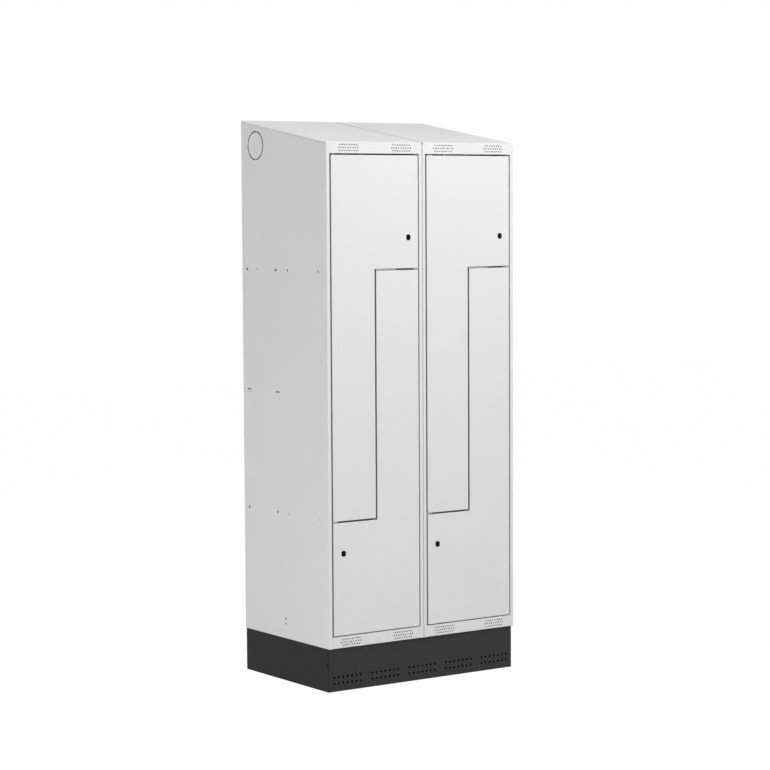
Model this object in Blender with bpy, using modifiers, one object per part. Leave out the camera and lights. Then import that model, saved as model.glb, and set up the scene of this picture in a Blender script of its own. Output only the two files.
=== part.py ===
"""Two-module Z locker in folded sheet steel, with a sloping roof and a perforated plinth.

Metres, +Z up, front towards -Y. The origin is the middle of the footprint, on the floor.
Each module has its own frame: x from its middle, y back from its front face, z from the floor.
"""
import math

import bmesh
import bpy
from mathutils import Matrix, Vector

# Overall sizes
MODULE_COUNT = 2
MODULE_WIDTH = 0.400
DEPTH = 0.550
FRONT_HEIGHT = 1.738
ROOF_RISE = 0.087
PLINTH_HEIGHT = 0.152

# Sheet, folds and fits
SHEET = 0.001
BEND_RADIUS = 0.003
BEND_SEGMENTS = 2
CLEARANCE = 0.0003
OVERRUN = 0.004
MERGE_DISTANCE = 0.00001
FLAT_ANGLE = math.radians(1.0)
FOLD_ANGLE = math.radians(30.0)

# Front frame of a module
STILE_WIDTH = 0.0145
REAR_FLANGE = 0.015
STOP_DEPTH = 0.0185
STOP_WIDTH = 0.008
RAIL_HEIGHT = 0.0400
RAIL_RETURN = 0.022
RAIL_FOOT = 0.015
TRAY_FLANGE = 0.006

# Vent holes in the rails
VENT_RADIUS = 0.0025
VENT_PITCH = 0.010
VENT_ROW_COUNTS = (8, 9, 8)
VENT_GROUP_OFFSET = 0.110
VENT_SIDES = 6

# Small tab under the top rail, in the gap above each upper door
TAB_WIDTH = 0.004
TAB_DEPTH = 0.005
TAB_SETBACK = 0.004
TAB_DROP = 0.0025
TAB_HEAD = 0.001
TAB_FROM_EDGE = 0.078

# Side panel: knock-out disc and rows of fixing holes
KNOCKOUT_DIAMETER = 0.0984
KNOCKOUT_SLOT = 0.0032
KNOCKOUT_TAB = 0.003
KNOCKOUT_FROM_REAR = 0.0965
KNOCKOUT_BELOW_ROOF = 0.0764
KNOCKOUT_TAB_TURNS = (0.02, 0.27, 0.74)
KNOCKOUT_ARC_STEPS = 8
FIXING_RADIUS = 0.0025
FIXING_SIDES = 6
FIXING_ROW_FROM_REAR = (0.036, 0.2245, 0.299, 0.493)
FIXING_PAIR_FROM_REAR = (0.036, 0.2225)
FIXING_PAIR_PITCH = 0.0145
FIXING_FOOT_FROM_REAR = 0.272
FIXING_FOOT_HEIGHT = 0.052
FIXING_FOOT_PITCH = 0.0175
FIXING_BELOW_UPPER_SHELF = 0.003
FIXING_ABOVE_LOWER_SHELF = 0.006

# Doors: two interlocking L shapes in each module
DOOR_SIDE_GAP = 0.0042
DOOR_TOP_GAP = 0.0044
DOOR_BOTTOM_GAP = 0.0035
DOOR_MIDDLE_GAP = 0.0046
STEP_GAP = 0.0048
DOOR_WIDE_HEIGHT = 0.3914
DOOR_RECESS = 0.0008
DOOR_DEPTH = 0.016
DOOR_EDGE_RADIUS = 0.0015

# Pin hinges
PIN_FROM_EDGE = 0.014
PIN_FROM_FACE = 0.008
PIN_RADIUS = 0.0025
PIN_LENGTH = 0.011
PIN_CLEARANCE = 0.0001
PIN_SIDES = 16
LUG_THICKNESS = 0.002
LUG_SETBACK = 0.0025
LUG_BEYOND_PIN = 0.006
LUG_CORNER = 0.003

# Z partition inside a module
DIVIDER_LIP = 0.012
SHELF_FLANGE = 0.012
TONGUE_WIDTH = 0.0855
TONGUE_FROM_MIDDLE = 0.0025
TONGUE_THICKNESS = 0.002
TONGUE_SETBACK = 0.0025

# Cam locks
LOCK_FROM_EDGE = 0.042
LOCK_FROM_STEP = 0.110
LOCK_BODY_WIDTH = 0.0155
LOCK_BODY_HEIGHT = 0.0190
LOCK_BODY_LENGTH = 0.0165
LOCK_FACE_WIDTH = 0.0180
LOCK_FACE_HEIGHT = 0.0210
LOCK_FACE_THICKNESS = 0.0005
BARREL_RADIUS = 0.0055
BARREL_SIDES = 20
KEYWAY_WIDTH = 0.0014
KEYWAY_HEIGHT = 0.007
KEYWAY_DEPTH = 0.004
CAM_LENGTH = 0.0445
CAM_HUB_RADIUS = 0.008
CAM_TIP_RADIUS = 0.005
CAM_THICKNESS = 0.002
CAM_FROM_BARREL = CLEARANCE
ARC_STEPS = 6

# Coat hooks on the back panel
HOOK_RADIUS = 0.0025
HOOK_REACH = 0.032
HOOK_RISE = 0.014
HOOK_BEND = 0.008
HOOK_PLATE_WIDTH = 0.018
HOOK_PLATE_HEIGHT = 0.030
HOOK_PLATE_THICKNESS = 0.002
HOOK_FROM_WALL = 0.100
HOOK_BELOW_ROOF = 0.045
HOOK_BELOW_SHELF = 0.040
HOOK_BEND_STEPS = 4

# Plinth
PLINTH_SHEET = 0.0015
PLINTH_SIDE_INSET = 0.003
PLINTH_FRONT_INSET = 0.012
PLINTH_REAR_INSET = 0.003
PLINTH_FLANGE = 0.025
PLINTH_HOLE_RADIUS = 0.00375
PLINTH_HOLE_SIDES = 6
PLINTH_HOLE_PITCH = 0.0185
PLINTH_HOLES_IN_ROW = 7
PLINTH_ROW_HEIGHTS = (0.028, 0.0495)
PLINTH_GROUP_COUNT = 5
PLINTH_GROUP_PITCH = 0.159
PLINTH_SLOT_HEIGHTS = (0.094, 0.131)
PLINTH_SLOT_WIDTH = 0.003
PLINTH_SLOT_HEIGHT = 0.008
PLINTH_SLOT_FROM_END = 0.006

# Places worked out from the sizes
HALF_WIDTH = MODULE_WIDTH / 2 - CLEARANCE / 2
FRONT_TOP = PLINTH_HEIGHT + FRONT_HEIGHT
TOP_RAIL_BOTTOM = FRONT_TOP - RAIL_HEIGHT
BOTTOM_RAIL_TOP = PLINTH_HEIGHT + RAIL_HEIGHT
DOOR_HALF_FIELD = MODULE_WIDTH / 2 - STILE_WIDTH - DOOR_SIDE_GAP
DOOR_TOP = TOP_RAIL_BOTTOM - DOOR_TOP_GAP
DOOR_BOTTOM = BOTTOM_RAIL_TOP + DOOR_BOTTOM_GAP
UPPER_STEP = DOOR_TOP - DOOR_WIDE_HEIGHT - STEP_GAP / 2
LOWER_STEP = DOOR_BOTTOM + DOOR_WIDE_HEIGHT + STEP_GAP / 2
DOOR_HEIGHT = DOOR_TOP - LOWER_STEP - STEP_GAP / 2
PIN_X = DOOR_HALF_FIELD - PIN_FROM_EDGE
PIN_Y = DOOR_RECESS + PIN_FROM_FACE
LOCK_X = DOOR_HALF_FIELD - LOCK_FROM_EDGE
NEST = SHEET + CLEARANCE
SHELF_FRONT = STOP_DEPTH + SHEET + CLEARANCE
BACK_PANEL_FRONT = DEPTH - NEST - SHEET

# Colours from the photograph, as linear RGB with roughness and metallic
LIGHT_GREY = ((0.78, 0.785, 0.78), 0.42, 0.0)
CHARCOAL = ((0.042, 0.043, 0.045), 0.55, 0.0)
BLACK = ((0.006, 0.006, 0.007), 0.40, 0.0)
ZINC = ((0.60, 0.61, 0.62), 0.35, 1.0)


def roof_height(y):
    """Height of the sloping roof plane at a distance y behind the front face."""
    return FRONT_TOP + ROOF_RISE * y / DEPTH


def clear_scene():
    for old in list(bpy.data.objects):
        bpy.data.objects.remove(old, do_unlink=True)


def new_collection(name, hidden=False):
    collection = bpy.data.collections.new(name)
    bpy.context.scene.collection.children.link(collection)
    collection.hide_render = hidden
    return collection


def painted(name, finish):
    """A material from a colour, a roughness and a metallic value."""
    colour, roughness, metallic = finish
    material = bpy.data.materials.new(name)
    material.use_nodes = True
    shader = material.node_tree.nodes["Principled BSDF"]
    shader.inputs["Base Color"].default_value = (*colour, 1.0)
    shader.inputs["Roughness"].default_value = roughness
    shader.inputs["Metallic"].default_value = metallic
    material.diffuse_color = (*colour, 1.0)
    return material


def add_part(name, mesh, finish, parent=None, location=(0, 0, 0), turn_y=0.0):
    """One named piece with its own material, in the locker's collection."""
    part = bpy.data.objects.new(name, mesh)
    PARTS.objects.link(part)
    part.parent = parent
    part.location = location
    part.rotation_euler = (0.0, turn_y, 0.0)
    if not mesh.materials:
        mesh.materials.append(painted(name, finish))
    return part


def add_cutter(name, mesh, like):
    """A tool for a Boolean, placed in the frame of the piece it works on."""
    cutter = bpy.data.objects.new(name, mesh)
    CUTTERS.objects.link(cutter)
    cutter.parent = like.parent
    cutter.location = like.location
    cutter.rotation_euler = like.rotation_euler
    cutter.hide_render = True
    cutter.display_type = "WIRE"
    return cutter


def boolean(part, mesh, operation="DIFFERENCE"):
    cutter = add_cutter(part.name + "_tool", mesh, part)
    modifier = part.modifiers.new("Cut" if operation == "DIFFERENCE" else "Join", "BOOLEAN")
    modifier.operation = operation
    modifier.solver = "EXACT"
    modifier.object = cutter


def fold(part, radius=BEND_RADIUS, sheet=SHEET):
    """Round the folds of an open surface, then give it the sheet's thickness on its inner side."""
    bevel = part.modifiers.new("Folds", "BEVEL")
    bevel.width = radius
    bevel.segments = BEND_SEGMENTS
    bevel.limit_method = "ANGLE"
    bevel.angle_limit = FOLD_ANGLE
    solid = part.modifiers.new("Sheet", "SOLIDIFY")
    solid.thickness = sheet
    solid.offset = -1.0
    solid.use_even_offset = True


def finish_mesh(name, bm):
    mesh = bpy.data.meshes.new(name)
    bm.to_mesh(mesh)
    bm.free()
    return mesh


def smooth_round(mesh):
    mesh.shade_smooth()
    mesh.set_sharp_from_angle(angle=FOLD_ANGLE)
    return mesh


def add_box(bm, low, high):
    """A box between two corners."""
    low = Vector(low)
    high = Vector(high)
    size = high - low
    matrix = Matrix.Translation((low + high) / 2) @ Matrix.Diagonal((*size, 1.0))
    bmesh.ops.create_cube(bm, size=1.0, matrix=matrix)


def box_mesh(name, low, high):
    bm = bmesh.new()
    add_box(bm, low, high)
    return finish_mesh(name, bm)


def add_rod(bm, centre, axis, radius, length, sides):
    """A cylinder round a centre, along X, Y or Z."""
    turn = {"X": Matrix.Rotation(math.pi / 2, 4, "Y"), "Y": Matrix.Rotation(math.pi / 2, 4, "X"),
            "Z": Matrix.Identity(4)}[axis]
    bmesh.ops.create_cone(bm, cap_ends=True, segments=sides, radius1=radius, radius2=radius,
                          depth=length, matrix=Matrix.Translation(centre) @ turn)


def rods_mesh(name, centres, axis, radius, length, sides):
    bm = bmesh.new()
    for centre in centres:
        add_rod(bm, centre, axis, radius, length, sides)
    return finish_mesh(name, bm)


def converted(name, curve, matrix):
    """The closed mesh of a curve, with its caps welded on, turned by a matrix."""
    carrier = bpy.data.objects.new(name, curve)
    CUTTERS.objects.link(carrier)
    graph = bpy.context.evaluated_depsgraph_get()
    mesh = bpy.data.meshes.new_from_object(carrier.evaluated_get(graph))
    bpy.data.objects.remove(carrier, do_unlink=True)
    mesh.transform(matrix)
    bm = bmesh.new()
    bm.from_mesh(mesh)
    bmesh.ops.remove_doubles(bm, verts=bm.verts, dist=MERGE_DISTANCE)
    bmesh.ops.recalc_face_normals(bm, faces=bm.faces)
    bm.to_mesh(mesh)
    bm.free()
    return mesh


def outline_mesh(name, outlines, thickness):
    """Flat outlines in x and z with a thickness along y, centred on y = 0."""
    curve = bpy.data.curves.new(name, "CURVE")
    curve.dimensions = "2D"
    curve.fill_mode = "BOTH"
    curve.extrude = thickness / 2
    for points in outlines:
        spline = curve.splines.new("POLY")
        spline.points.add(len(points) - 1)
        for knot, (x, z) in zip(spline.points, points):
            knot.co = (x, z, 0.0, 1.0)
        spline.use_cyclic_u = True
    mesh = converted(name, curve, Matrix.Rotation(math.pi / 2, 4, "X"))
    bm = bmesh.new()
    bm.from_mesh(mesh)
    bmesh.ops.dissolve_limit(bm, angle_limit=FLAT_ANGLE, verts=bm.verts, edges=bm.edges)
    bm.to_mesh(mesh)
    bm.free()
    return mesh


def shift(mesh, offset):
    mesh.transform(Matrix.Translation(offset))
    return mesh


def arc(centre, radius, start, end, steps):
    """Points on an arc, angles in radians from +x towards +z."""
    angles = [start + (end - start) * i / steps for i in range(steps + 1)]
    return [(centre[0] + radius * math.cos(a), centre[1] + radius * math.sin(a)) for a in angles]


def double_d(width, height):
    """A circle of the given height with its two sides cut flat to the given width."""
    radius = height / 2
    flat = math.acos(width / height)
    top = arc((0, 0), radius, flat, math.pi - flat, ARC_STEPS)
    bottom = arc((0, 0), radius, math.pi + flat, 2 * math.pi - flat, ARC_STEPS)
    return top + bottom


def swept_sheet(name, profile, sweep, outward):
    """An open surface: a profile's edges swept along a vector that may depend on the point.

    outward is the way that the first strip of the profile faces.
    """
    bm = bmesh.new()
    verts = [bm.verts.new(point) for point in profile]
    edges = [bm.edges.new(pair) for pair in zip(verts, verts[1:])]
    swept = bmesh.ops.extrude_edge_only(bm, edges=edges)
    for item in swept["geom"]:
        if isinstance(item, bmesh.types.BMVert):
            item.co = sweep(item.co)
    bmesh.ops.recalc_face_normals(bm, faces=bm.faces)
    bm.faces.ensure_lookup_table()
    first = next(f for f in bm.faces if verts[0] in f.verts)
    bm.normal_update()
    if first.normal.dot(Vector(outward)) < 0:
        bmesh.ops.reverse_faces(bm, faces=bm.faces)
    return finish_mesh(name, bm)


def tray_mesh(name, low, high, open_normal, height_at=None):
    """A box with one side open; height_at(y) lifts it to follow a slope."""
    bm = bmesh.new()
    add_box(bm, low, high)
    open_side = [f for f in bm.faces if f.normal.dot(Vector(open_normal)) > 1 - FLAT_ANGLE]
    bmesh.ops.delete(bm, geom=open_side, context="FACES")
    if height_at:
        for vert in bm.verts:
            vert.co.z += height_at(vert.co.y)
    return finish_mesh(name, bm)


def vent_centres(x_middle, y, z_middle):
    """Centres of one staggered group of vent holes."""
    centres = []
    for row, count in enumerate(VENT_ROW_COUNTS):
        z = z_middle + (1 - row) * VENT_PITCH
        first = x_middle - VENT_PITCH * (count - 1) / 2
        centres += [(first + i * VENT_PITCH, y, z) for i in range(count)]
    return centres


def knockout_slots(name, x, y_middle, z_middle):
    """Curved slots round the knock-out disc, broken by its holding tabs."""
    radius = KNOCKOUT_DIAMETER / 2
    outer = radius + KNOCKOUT_SLOT / 2
    inner = radius - KNOCKOUT_SLOT / 2
    half_tab = KNOCKOUT_TAB / 2 / radius
    turns = sorted(KNOCKOUT_TAB_TURNS)
    outlines = []
    for start, end in zip(turns, turns[1:] + [turns[0] + 1]):
        first = 2 * math.pi * start + half_tab
        last = 2 * math.pi * end - half_tab
        far = arc((0, 0), outer, first, last, KNOCKOUT_ARC_STEPS)
        near = arc((0, 0), inner, last, first, KNOCKOUT_ARC_STEPS)
        outlines.append(far + near)
    mesh = outline_mesh(name, outlines, SHEET + 2 * OVERRUN)
    mesh.transform(Matrix.Rotation(math.pi / 2, 4, "Z"))
    return shift(mesh, (x, y_middle, z_middle))


def fixing_centres(x):
    """Centres of the fixing holes in a side panel."""
    rows = (UPPER_STEP - FIXING_BELOW_UPPER_SHELF, LOWER_STEP + FIXING_ABOVE_LOWER_SHELF)
    centres = [(x, DEPTH - back, z) for z in rows for back in FIXING_ROW_FROM_REAR]
    middle = (UPPER_STEP + LOWER_STEP) / 2
    for back in FIXING_PAIR_FROM_REAR:
        centres += [(x, DEPTH - back, middle), (x, DEPTH - back - FIXING_PAIR_PITCH, middle)]
    foot = PLINTH_HEIGHT + FIXING_FOOT_HEIGHT
    foot_y = DEPTH - FIXING_FOOT_FROM_REAR
    return centres + [(x, foot_y, foot), (x, foot_y, foot + FIXING_FOOT_PITCH)]


def side_panel(name, module, side):
    """Side wall folded into the front stile, its return and the door stop; side is -1 or +1."""
    outer = side * HALF_WIDTH
    opening = side * (HALF_WIDTH - STILE_WIDTH)
    plan = [(outer - side * REAR_FLANGE, DEPTH), (outer, DEPTH), (outer, 0), (opening, 0),
            (opening, STOP_DEPTH), (opening - side * STOP_WIDTH, STOP_DEPTH)]
    profile = [(x, y, PLINTH_HEIGHT) for x, y in plan]

    def up(point):
        return Vector((point.x, point.y, roof_height(point.y) - BEND_RADIUS))

    mesh = swept_sheet(name, profile, up, (0, 1, 0))
    panel = add_part(name, mesh, LIGHT_GREY, module)
    fold(panel)

    # The return stops at the rails, which run between the flat faces of the stiles
    flat_edge = side * (HALF_WIDTH - STILE_WIDTH + BEND_RADIUS)
    beyond = opening - side * (STOP_WIDTH + OVERRUN)
    xs = sorted((flat_edge, beyond))
    back = STOP_DEPTH + SHEET + OVERRUN
    bm = bmesh.new()
    add_box(bm, (xs[0], -OVERRUN, PLINTH_HEIGHT - OVERRUN), (xs[1], back, BOTTOM_RAIL_TOP + CLEARANCE))
    add_box(bm, (xs[0], -OVERRUN, TOP_RAIL_BOTTOM - CLEARANCE), (xs[1], back, FRONT_TOP + OVERRUN))
    boolean(panel, finish_mesh(name + "_rail_notch", bm))

    # The stop stays only beside the free edge of a door, and leaves the hinge side clear
    if side < 0:
        span = (LOWER_STEP - STEP_GAP / 2, TOP_RAIL_BOTTOM + OVERRUN)
    else:
        span = (BOTTOM_RAIL_TOP - OVERRUN, UPPER_STEP + STEP_GAP / 2)
    xs = sorted((opening + side * (SHEET + OVERRUN), beyond))
    trim = box_mesh(name + "_stop_trim", (xs[0], STOP_DEPTH - BEND_RADIUS, span[0]), (xs[1], back, span[1]))
    boolean(panel, trim)

    wall = side * (HALF_WIDTH - SHEET / 2)
    knockout_y = DEPTH - KNOCKOUT_FROM_REAR
    knockout_z = roof_height(knockout_y) - KNOCKOUT_BELOW_ROOF
    boolean(panel, knockout_slots(name + "_knockout", wall, knockout_y, knockout_z))
    holes = rods_mesh(name + "_fixings", fixing_centres(wall), "X", FIXING_RADIUS,
                      SHEET + 2 * OVERRUN, FIXING_SIDES)
    boolean(panel, holes)


def roof_panel(name, module):
    """Sloping roof, a shallow pan that nests inside the tops of the walls."""
    x = HALF_WIDTH - NEST
    mesh = tray_mesh(name, (-x, NEST, -TRAY_FLANGE), (x, DEPTH - NEST, 0), (0, 0, -1), roof_height)
    fold(add_part(name, mesh, LIGHT_GREY, module))


def floor_panel(name, module):
    """Floor pan with low upturned edges."""
    x = HALF_WIDTH - NEST
    base = PLINTH_HEIGHT + NEST
    mesh = tray_mesh(name, (-x, NEST, base), (x, DEPTH - NEST, base + TRAY_FLANGE), (0, 0, 1))
    fold(add_part(name, mesh, LIGHT_GREY, module))


def back_panel(name, module):
    """Flat back between the flanges of the floor and the roof, clear of the folds at its sides."""
    x = HALF_WIDTH - BEND_RADIUS - CLEARANCE
    low = PLINTH_HEIGHT + NEST + TRAY_FLANGE + CLEARANCE
    high = roof_height(DEPTH - NEST) - TRAY_FLANGE - CLEARANCE - SHEET
    mesh = box_mesh(name, (-x, BACK_PANEL_FRONT, low), (x, BACK_PANEL_FRONT + SHEET, high))
    add_part(name, mesh, LIGHT_GREY, module)


def vents(name, part, z_middle):
    centres = []
    for side in (-1, 1):
        centres += vent_centres(side * VENT_GROUP_OFFSET, SHEET / 2, z_middle)
    boolean(part, rods_mesh(name, centres, "Y", VENT_RADIUS, SHEET + 2 * OVERRUN, VENT_SIDES))


def rail_end():
    """Half the length of a rail, which ends beside the flat faces of the stiles."""
    return HALF_WIDTH - STILE_WIDTH + BEND_RADIUS - CLEARANCE


def top_rail(name, module):
    """Perforated rail over the doors, folded back along its lower edge, with one small tab."""
    x = rail_end()
    profile = [(-x, 0, FRONT_TOP - BEND_RADIUS), (-x, 0, TOP_RAIL_BOTTOM), (-x, RAIL_RETURN, TOP_RAIL_BOTTOM)]
    mesh = swept_sheet(name, profile, lambda p: Vector((x, p.y, p.z)), (0, -1, 0))
    rail = add_part(name, mesh, LIGHT_GREY, module)
    fold(rail)
    tab_x = -MODULE_WIDTH / 2 + TAB_FROM_EDGE
    low = (tab_x - TAB_WIDTH / 2, TAB_SETBACK, TOP_RAIL_BOTTOM - TAB_DROP)
    high = (tab_x + TAB_WIDTH / 2, TAB_SETBACK + TAB_DEPTH, TOP_RAIL_BOTTOM + SHEET + TAB_HEAD)
    boolean(rail, box_mesh(name + "_tab", low, high), "UNION")
    vents(name + "_vents", rail, FRONT_TOP - RAIL_HEIGHT / 2)


def bottom_rail(name, module):
    """Perforated rail under the doors, folded back at its top and bottom."""
    x = rail_end()
    profile = [(-x, RAIL_FOOT, PLINTH_HEIGHT), (-x, 0, PLINTH_HEIGHT), (-x, 0, BOTTOM_RAIL_TOP),
               (-x, RAIL_RETURN, BOTTOM_RAIL_TOP)]
    mesh = swept_sheet(name, profile, lambda p: Vector((x, p.y, p.z)), (0, 0, -1))
    rail = add_part(name, mesh, LIGHT_GREY, module)
    fold(rail)
    vents(name + "_vents", rail, PLINTH_HEIGHT + RAIL_HEIGHT / 2)


def divider(name, module):
    """Upright wall between the two compartments, with a lip behind the gap of the doors."""
    x = DIVIDER_LIP / 2
    rear = BACK_PANEL_FRONT - CLEARANCE
    plan = [(x, STOP_DEPTH), (-x, STOP_DEPTH), (-x, rear), (x, rear)]
    low = LOWER_STEP + SHEET / 2 + CLEARANCE
    high = UPPER_STEP - TONGUE_THICKNESS / 2 - CLEARANCE
    profile = [(px, py, low) for px, py in plan]
    mesh = swept_sheet(name, profile, lambda p: Vector((p.x, p.y, high)), (0, -1, 0))
    fold(add_part(name, mesh, LIGHT_GREY, module))


def shelf(name, module, side, z, tongue):
    """Half-width shelf of the Z partition, over or under the divider, folded away from it behind."""
    wall = side * (HALF_WIDTH - NEST)
    inner = -side * (DIVIDER_LIP / 2 + CLEARANCE)
    x0, x1 = sorted((wall, inner))
    rear = BACK_PANEL_FRONT - CLEARANCE
    face = z - side * SHEET / 2
    profile = [(x0, SHELF_FRONT, face), (x0, rear, face), (x0, rear, face + side * SHELF_FLANGE)]
    mesh = swept_sheet(name, profile, lambda p: Vector((x1, p.y, p.z)), (0, 0, -side))
    panel = add_part(name, mesh, LIGHT_GREY, module)
    fold(panel)
    if tongue:
        start = TONGUE_FROM_MIDDLE
        low = (start, TONGUE_SETBACK, z - TONGUE_THICKNESS / 2)
        high = (start + TONGUE_WIDTH, SHELF_FRONT + OVERRUN, z + TONGUE_THICKNESS / 2)
        boolean(panel, box_mesh(name + "_tongue", low, high), "UNION")


def door_mesh(name):
    """L-shaped door pan of the upper door, open behind, with its origin on the hinge axis.

    The hinge edge is towards -x, and z = 0 is the lower end of the narrow leg.
    """
    left = -PIN_FROM_EDGE
    right = left + 2 * DOOR_HALF_FIELD
    leg = left + DOOR_HALF_FIELD - DOOR_MIDDLE_GAP / 2
    step = DOOR_HEIGHT - DOOR_WIDE_HEIGHT
    outline = [(left, 0), (leg, 0), (leg, step), (right, step), (right, DOOR_HEIGHT), (left, DOOR_HEIGHT)]
    mesh = shift(outline_mesh(name, [outline], DOOR_DEPTH), (0, DOOR_DEPTH / 2 - PIN_FROM_FACE, 0))
    bm = bmesh.new()
    bm.from_mesh(mesh)
    rear = [f for f in bm.faces if f.normal.y > 1 - FLAT_ANGLE]
    bmesh.ops.delete(bm, geom=rear, context="FACES")
    bm.to_mesh(mesh)
    bm.free()
    return mesh


def lock_in_door():
    """Lock axis in the door's frame: distance from the hinge axis, and height."""
    x = LOCK_X + PIN_X
    z = DOOR_HEIGHT - DOOR_WIDE_HEIGHT - STEP_GAP / 2 + LOCK_FROM_STEP
    return x, z


def door(name, module, side, z, mesh):
    """Place a door: side -1 is the upper one, and +1 the same pan turned half round."""
    turn = 0.0 if side < 0 else math.pi
    panel = add_part(name, mesh, LIGHT_GREY, module, (side * PIN_X, PIN_Y, z), turn)
    fold(panel, DOOR_EDGE_RADIUS)
    lock_x, lock_z = lock_in_door()
    bm = bmesh.new()
    for end in (0, DOOR_HEIGHT):
        add_rod(bm, (0, 0, end), "Z", PIN_RADIUS + PIN_CLEARANCE, 2 * (SHEET + OVERRUN), PIN_SIDES)
    boolean(panel, finish_mesh(name + "_pin_holes", bm))
    hole = double_d(LOCK_BODY_WIDTH + 2 * CLEARANCE, LOCK_BODY_HEIGHT + 2 * CLEARANCE)
    cut = outline_mesh(name + "_lock_hole", [hole], 2 * (SHEET + OVERRUN))
    boolean(panel, shift(cut, (lock_x, -PIN_FROM_FACE, lock_z)))
    return panel


def hinge_pin(name, module, side, z_face, direction):
    """Pin standing on, or hanging from, a horizontal face at z_face."""
    z = z_face + direction * (CLEARANCE + PIN_LENGTH / 2)
    mesh = smooth_round(rods_mesh(name, [(0, 0, 0)], "Z", PIN_RADIUS, PIN_LENGTH, PIN_SIDES))
    add_part(name, mesh, ZINC, module, (side * PIN_X, PIN_Y, z))


def hinge_lug(name, module, side, z):
    """Plate in the step gap, beside the stile, that carries a hinge pin."""
    wall = HALF_WIDTH - STILE_WIDTH - CLEARANCE - PIN_X
    depth = STOP_DEPTH - BEND_RADIUS - LUG_SETBACK
    free = -LUG_BEYOND_PIN
    corner = LUG_CORNER
    outline = [(wall, 0), (wall, depth), (free, depth)]
    outline += arc((free + corner, corner), corner, math.pi, 1.5 * math.pi, ARC_STEPS)
    mesh = outline_mesh(name, [outline], LUG_THICKNESS)
    mesh.transform(Matrix.Rotation(-math.pi / 2, 4, "X"))
    if side < 0:
        mesh.transform(Matrix.Scale(-1, 4, (1, 0, 0)))
        mesh.flip_normals()
    shift(mesh, (0, LUG_SETBACK - PIN_Y, 0))
    add_part(name, mesh, LIGHT_GREY, module, (side * PIN_X, PIN_Y, z))


def lock_housing(name, module, x, z):
    """Lock body held in the door, with its oval face on the front."""
    front = DOOR_RECESS - CLEARANCE - LOCK_FACE_THICKNESS
    body = outline_mesh(name, [double_d(LOCK_BODY_WIDTH, LOCK_BODY_HEIGHT)], LOCK_BODY_LENGTH)
    shift(body, (0, front + LOCK_FACE_THICKNESS / 2 + LOCK_BODY_LENGTH / 2, 0))
    housing = add_part(name, body, BLACK, module, (x, 0, z))
    face = outline_mesh(name + "_face", [double_d(LOCK_FACE_WIDTH, LOCK_FACE_HEIGHT)], LOCK_FACE_THICKNESS)
    boolean(housing, shift(face, (0, front + LOCK_FACE_THICKNESS / 2, 0)), "UNION")
    bore = rods_mesh(name + "_bore", [(0, front + LOCK_BODY_LENGTH / 2, 0)], "Y",
                     BARREL_RADIUS + PIN_CLEARANCE, LOCK_BODY_LENGTH + 2 * OVERRUN, BARREL_SIDES)
    boolean(housing, bore)


def lock_barrel(name, module, x, z):
    """Turning barrel with a keyway in its face."""
    front = DOOR_RECESS - CLEARANCE - LOCK_FACE_THICKNESS
    rear = SHELF_FRONT + CLEARANCE
    mesh = smooth_round(rods_mesh(name, [(0, (front + rear) / 2, 0)], "Y", BARREL_RADIUS,
                                  rear - front, BARREL_SIDES))
    barrel = add_part(name, mesh, BLACK, module, (x, 0, z))
    low = (-KEYWAY_WIDTH / 2, front - OVERRUN, -KEYWAY_HEIGHT / 2)
    high = (KEYWAY_WIDTH / 2, front + KEYWAY_DEPTH, KEYWAY_HEIGHT / 2)
    boolean(barrel, box_mesh(name + "_keyway", low, high))
    return rear


def lock_cam(name, module, x, z, front):
    """Cam behind the barrel, hanging down while the lock is open."""
    lean = math.asin((CAM_HUB_RADIUS - CAM_TIP_RADIUS) / (CAM_LENGTH - CAM_TIP_RADIUS))
    tip_z = CAM_TIP_RADIUS - CAM_LENGTH
    outline = arc((0, 0), CAM_HUB_RADIUS, -lean, math.pi + lean, ARC_STEPS)
    outline += arc((0, tip_z), CAM_TIP_RADIUS, math.pi + lean, 2 * math.pi - lean, ARC_STEPS)
    mesh = outline_mesh(name, [outline], CAM_THICKNESS)
    shift(mesh, (0, front + CAM_FROM_BARREL + CAM_THICKNESS / 2, 0))
    add_part(name, mesh, ZINC, module, (x, 0, z))


def lock(prefix, module, side, z):
    x = -side * LOCK_X
    lock_housing(prefix + "_lock_housing", module, x, z)
    rear = lock_barrel(prefix + "_lock_barrel", module, x, z)
    lock_cam(prefix + "_lock_cam", module, x, z, rear)


def coat_hook(name, module, x, z):
    """Bent rod on a small plate, fixed to the front of the back panel."""
    wall = BACK_PANEL_FRONT - CLEARANCE
    bend_y = HOOK_BEND - HOOK_REACH
    path = [(0, 0), (bend_y, 0)]
    path += arc((bend_y, HOOK_BEND), HOOK_BEND, -math.pi / 2, -math.pi, HOOK_BEND_STEPS)[1:]
    path.append((-HOOK_REACH, HOOK_RISE))
    curve = bpy.data.curves.new(name, "CURVE")
    curve.dimensions = "3D"
    curve.bevel_depth = HOOK_RADIUS
    curve.bevel_resolution = 1
    curve.use_fill_caps = True
    spline = curve.splines.new("POLY")
    spline.points.add(len(path) - 1)
    for knot, (y, up) in zip(spline.points, path):
        knot.co = (0.0, y, up, 1.0)
    rod = converted(name, curve, Matrix.Identity(4))
    smooth_round(rod)
    hook = add_part(name, shift(rod, (0, -HOOK_PLATE_THICKNESS / 2, 0)), ZINC, module, (x, wall, z))
    low = (-HOOK_PLATE_WIDTH / 2, -HOOK_PLATE_THICKNESS, -HOOK_PLATE_HEIGHT / 2)
    high = (HOOK_PLATE_WIDTH / 2, 0, HOOK_PLATE_HEIGHT / 2)
    boolean(hook, box_mesh(name + "_plate", low, high), "UNION")


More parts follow.
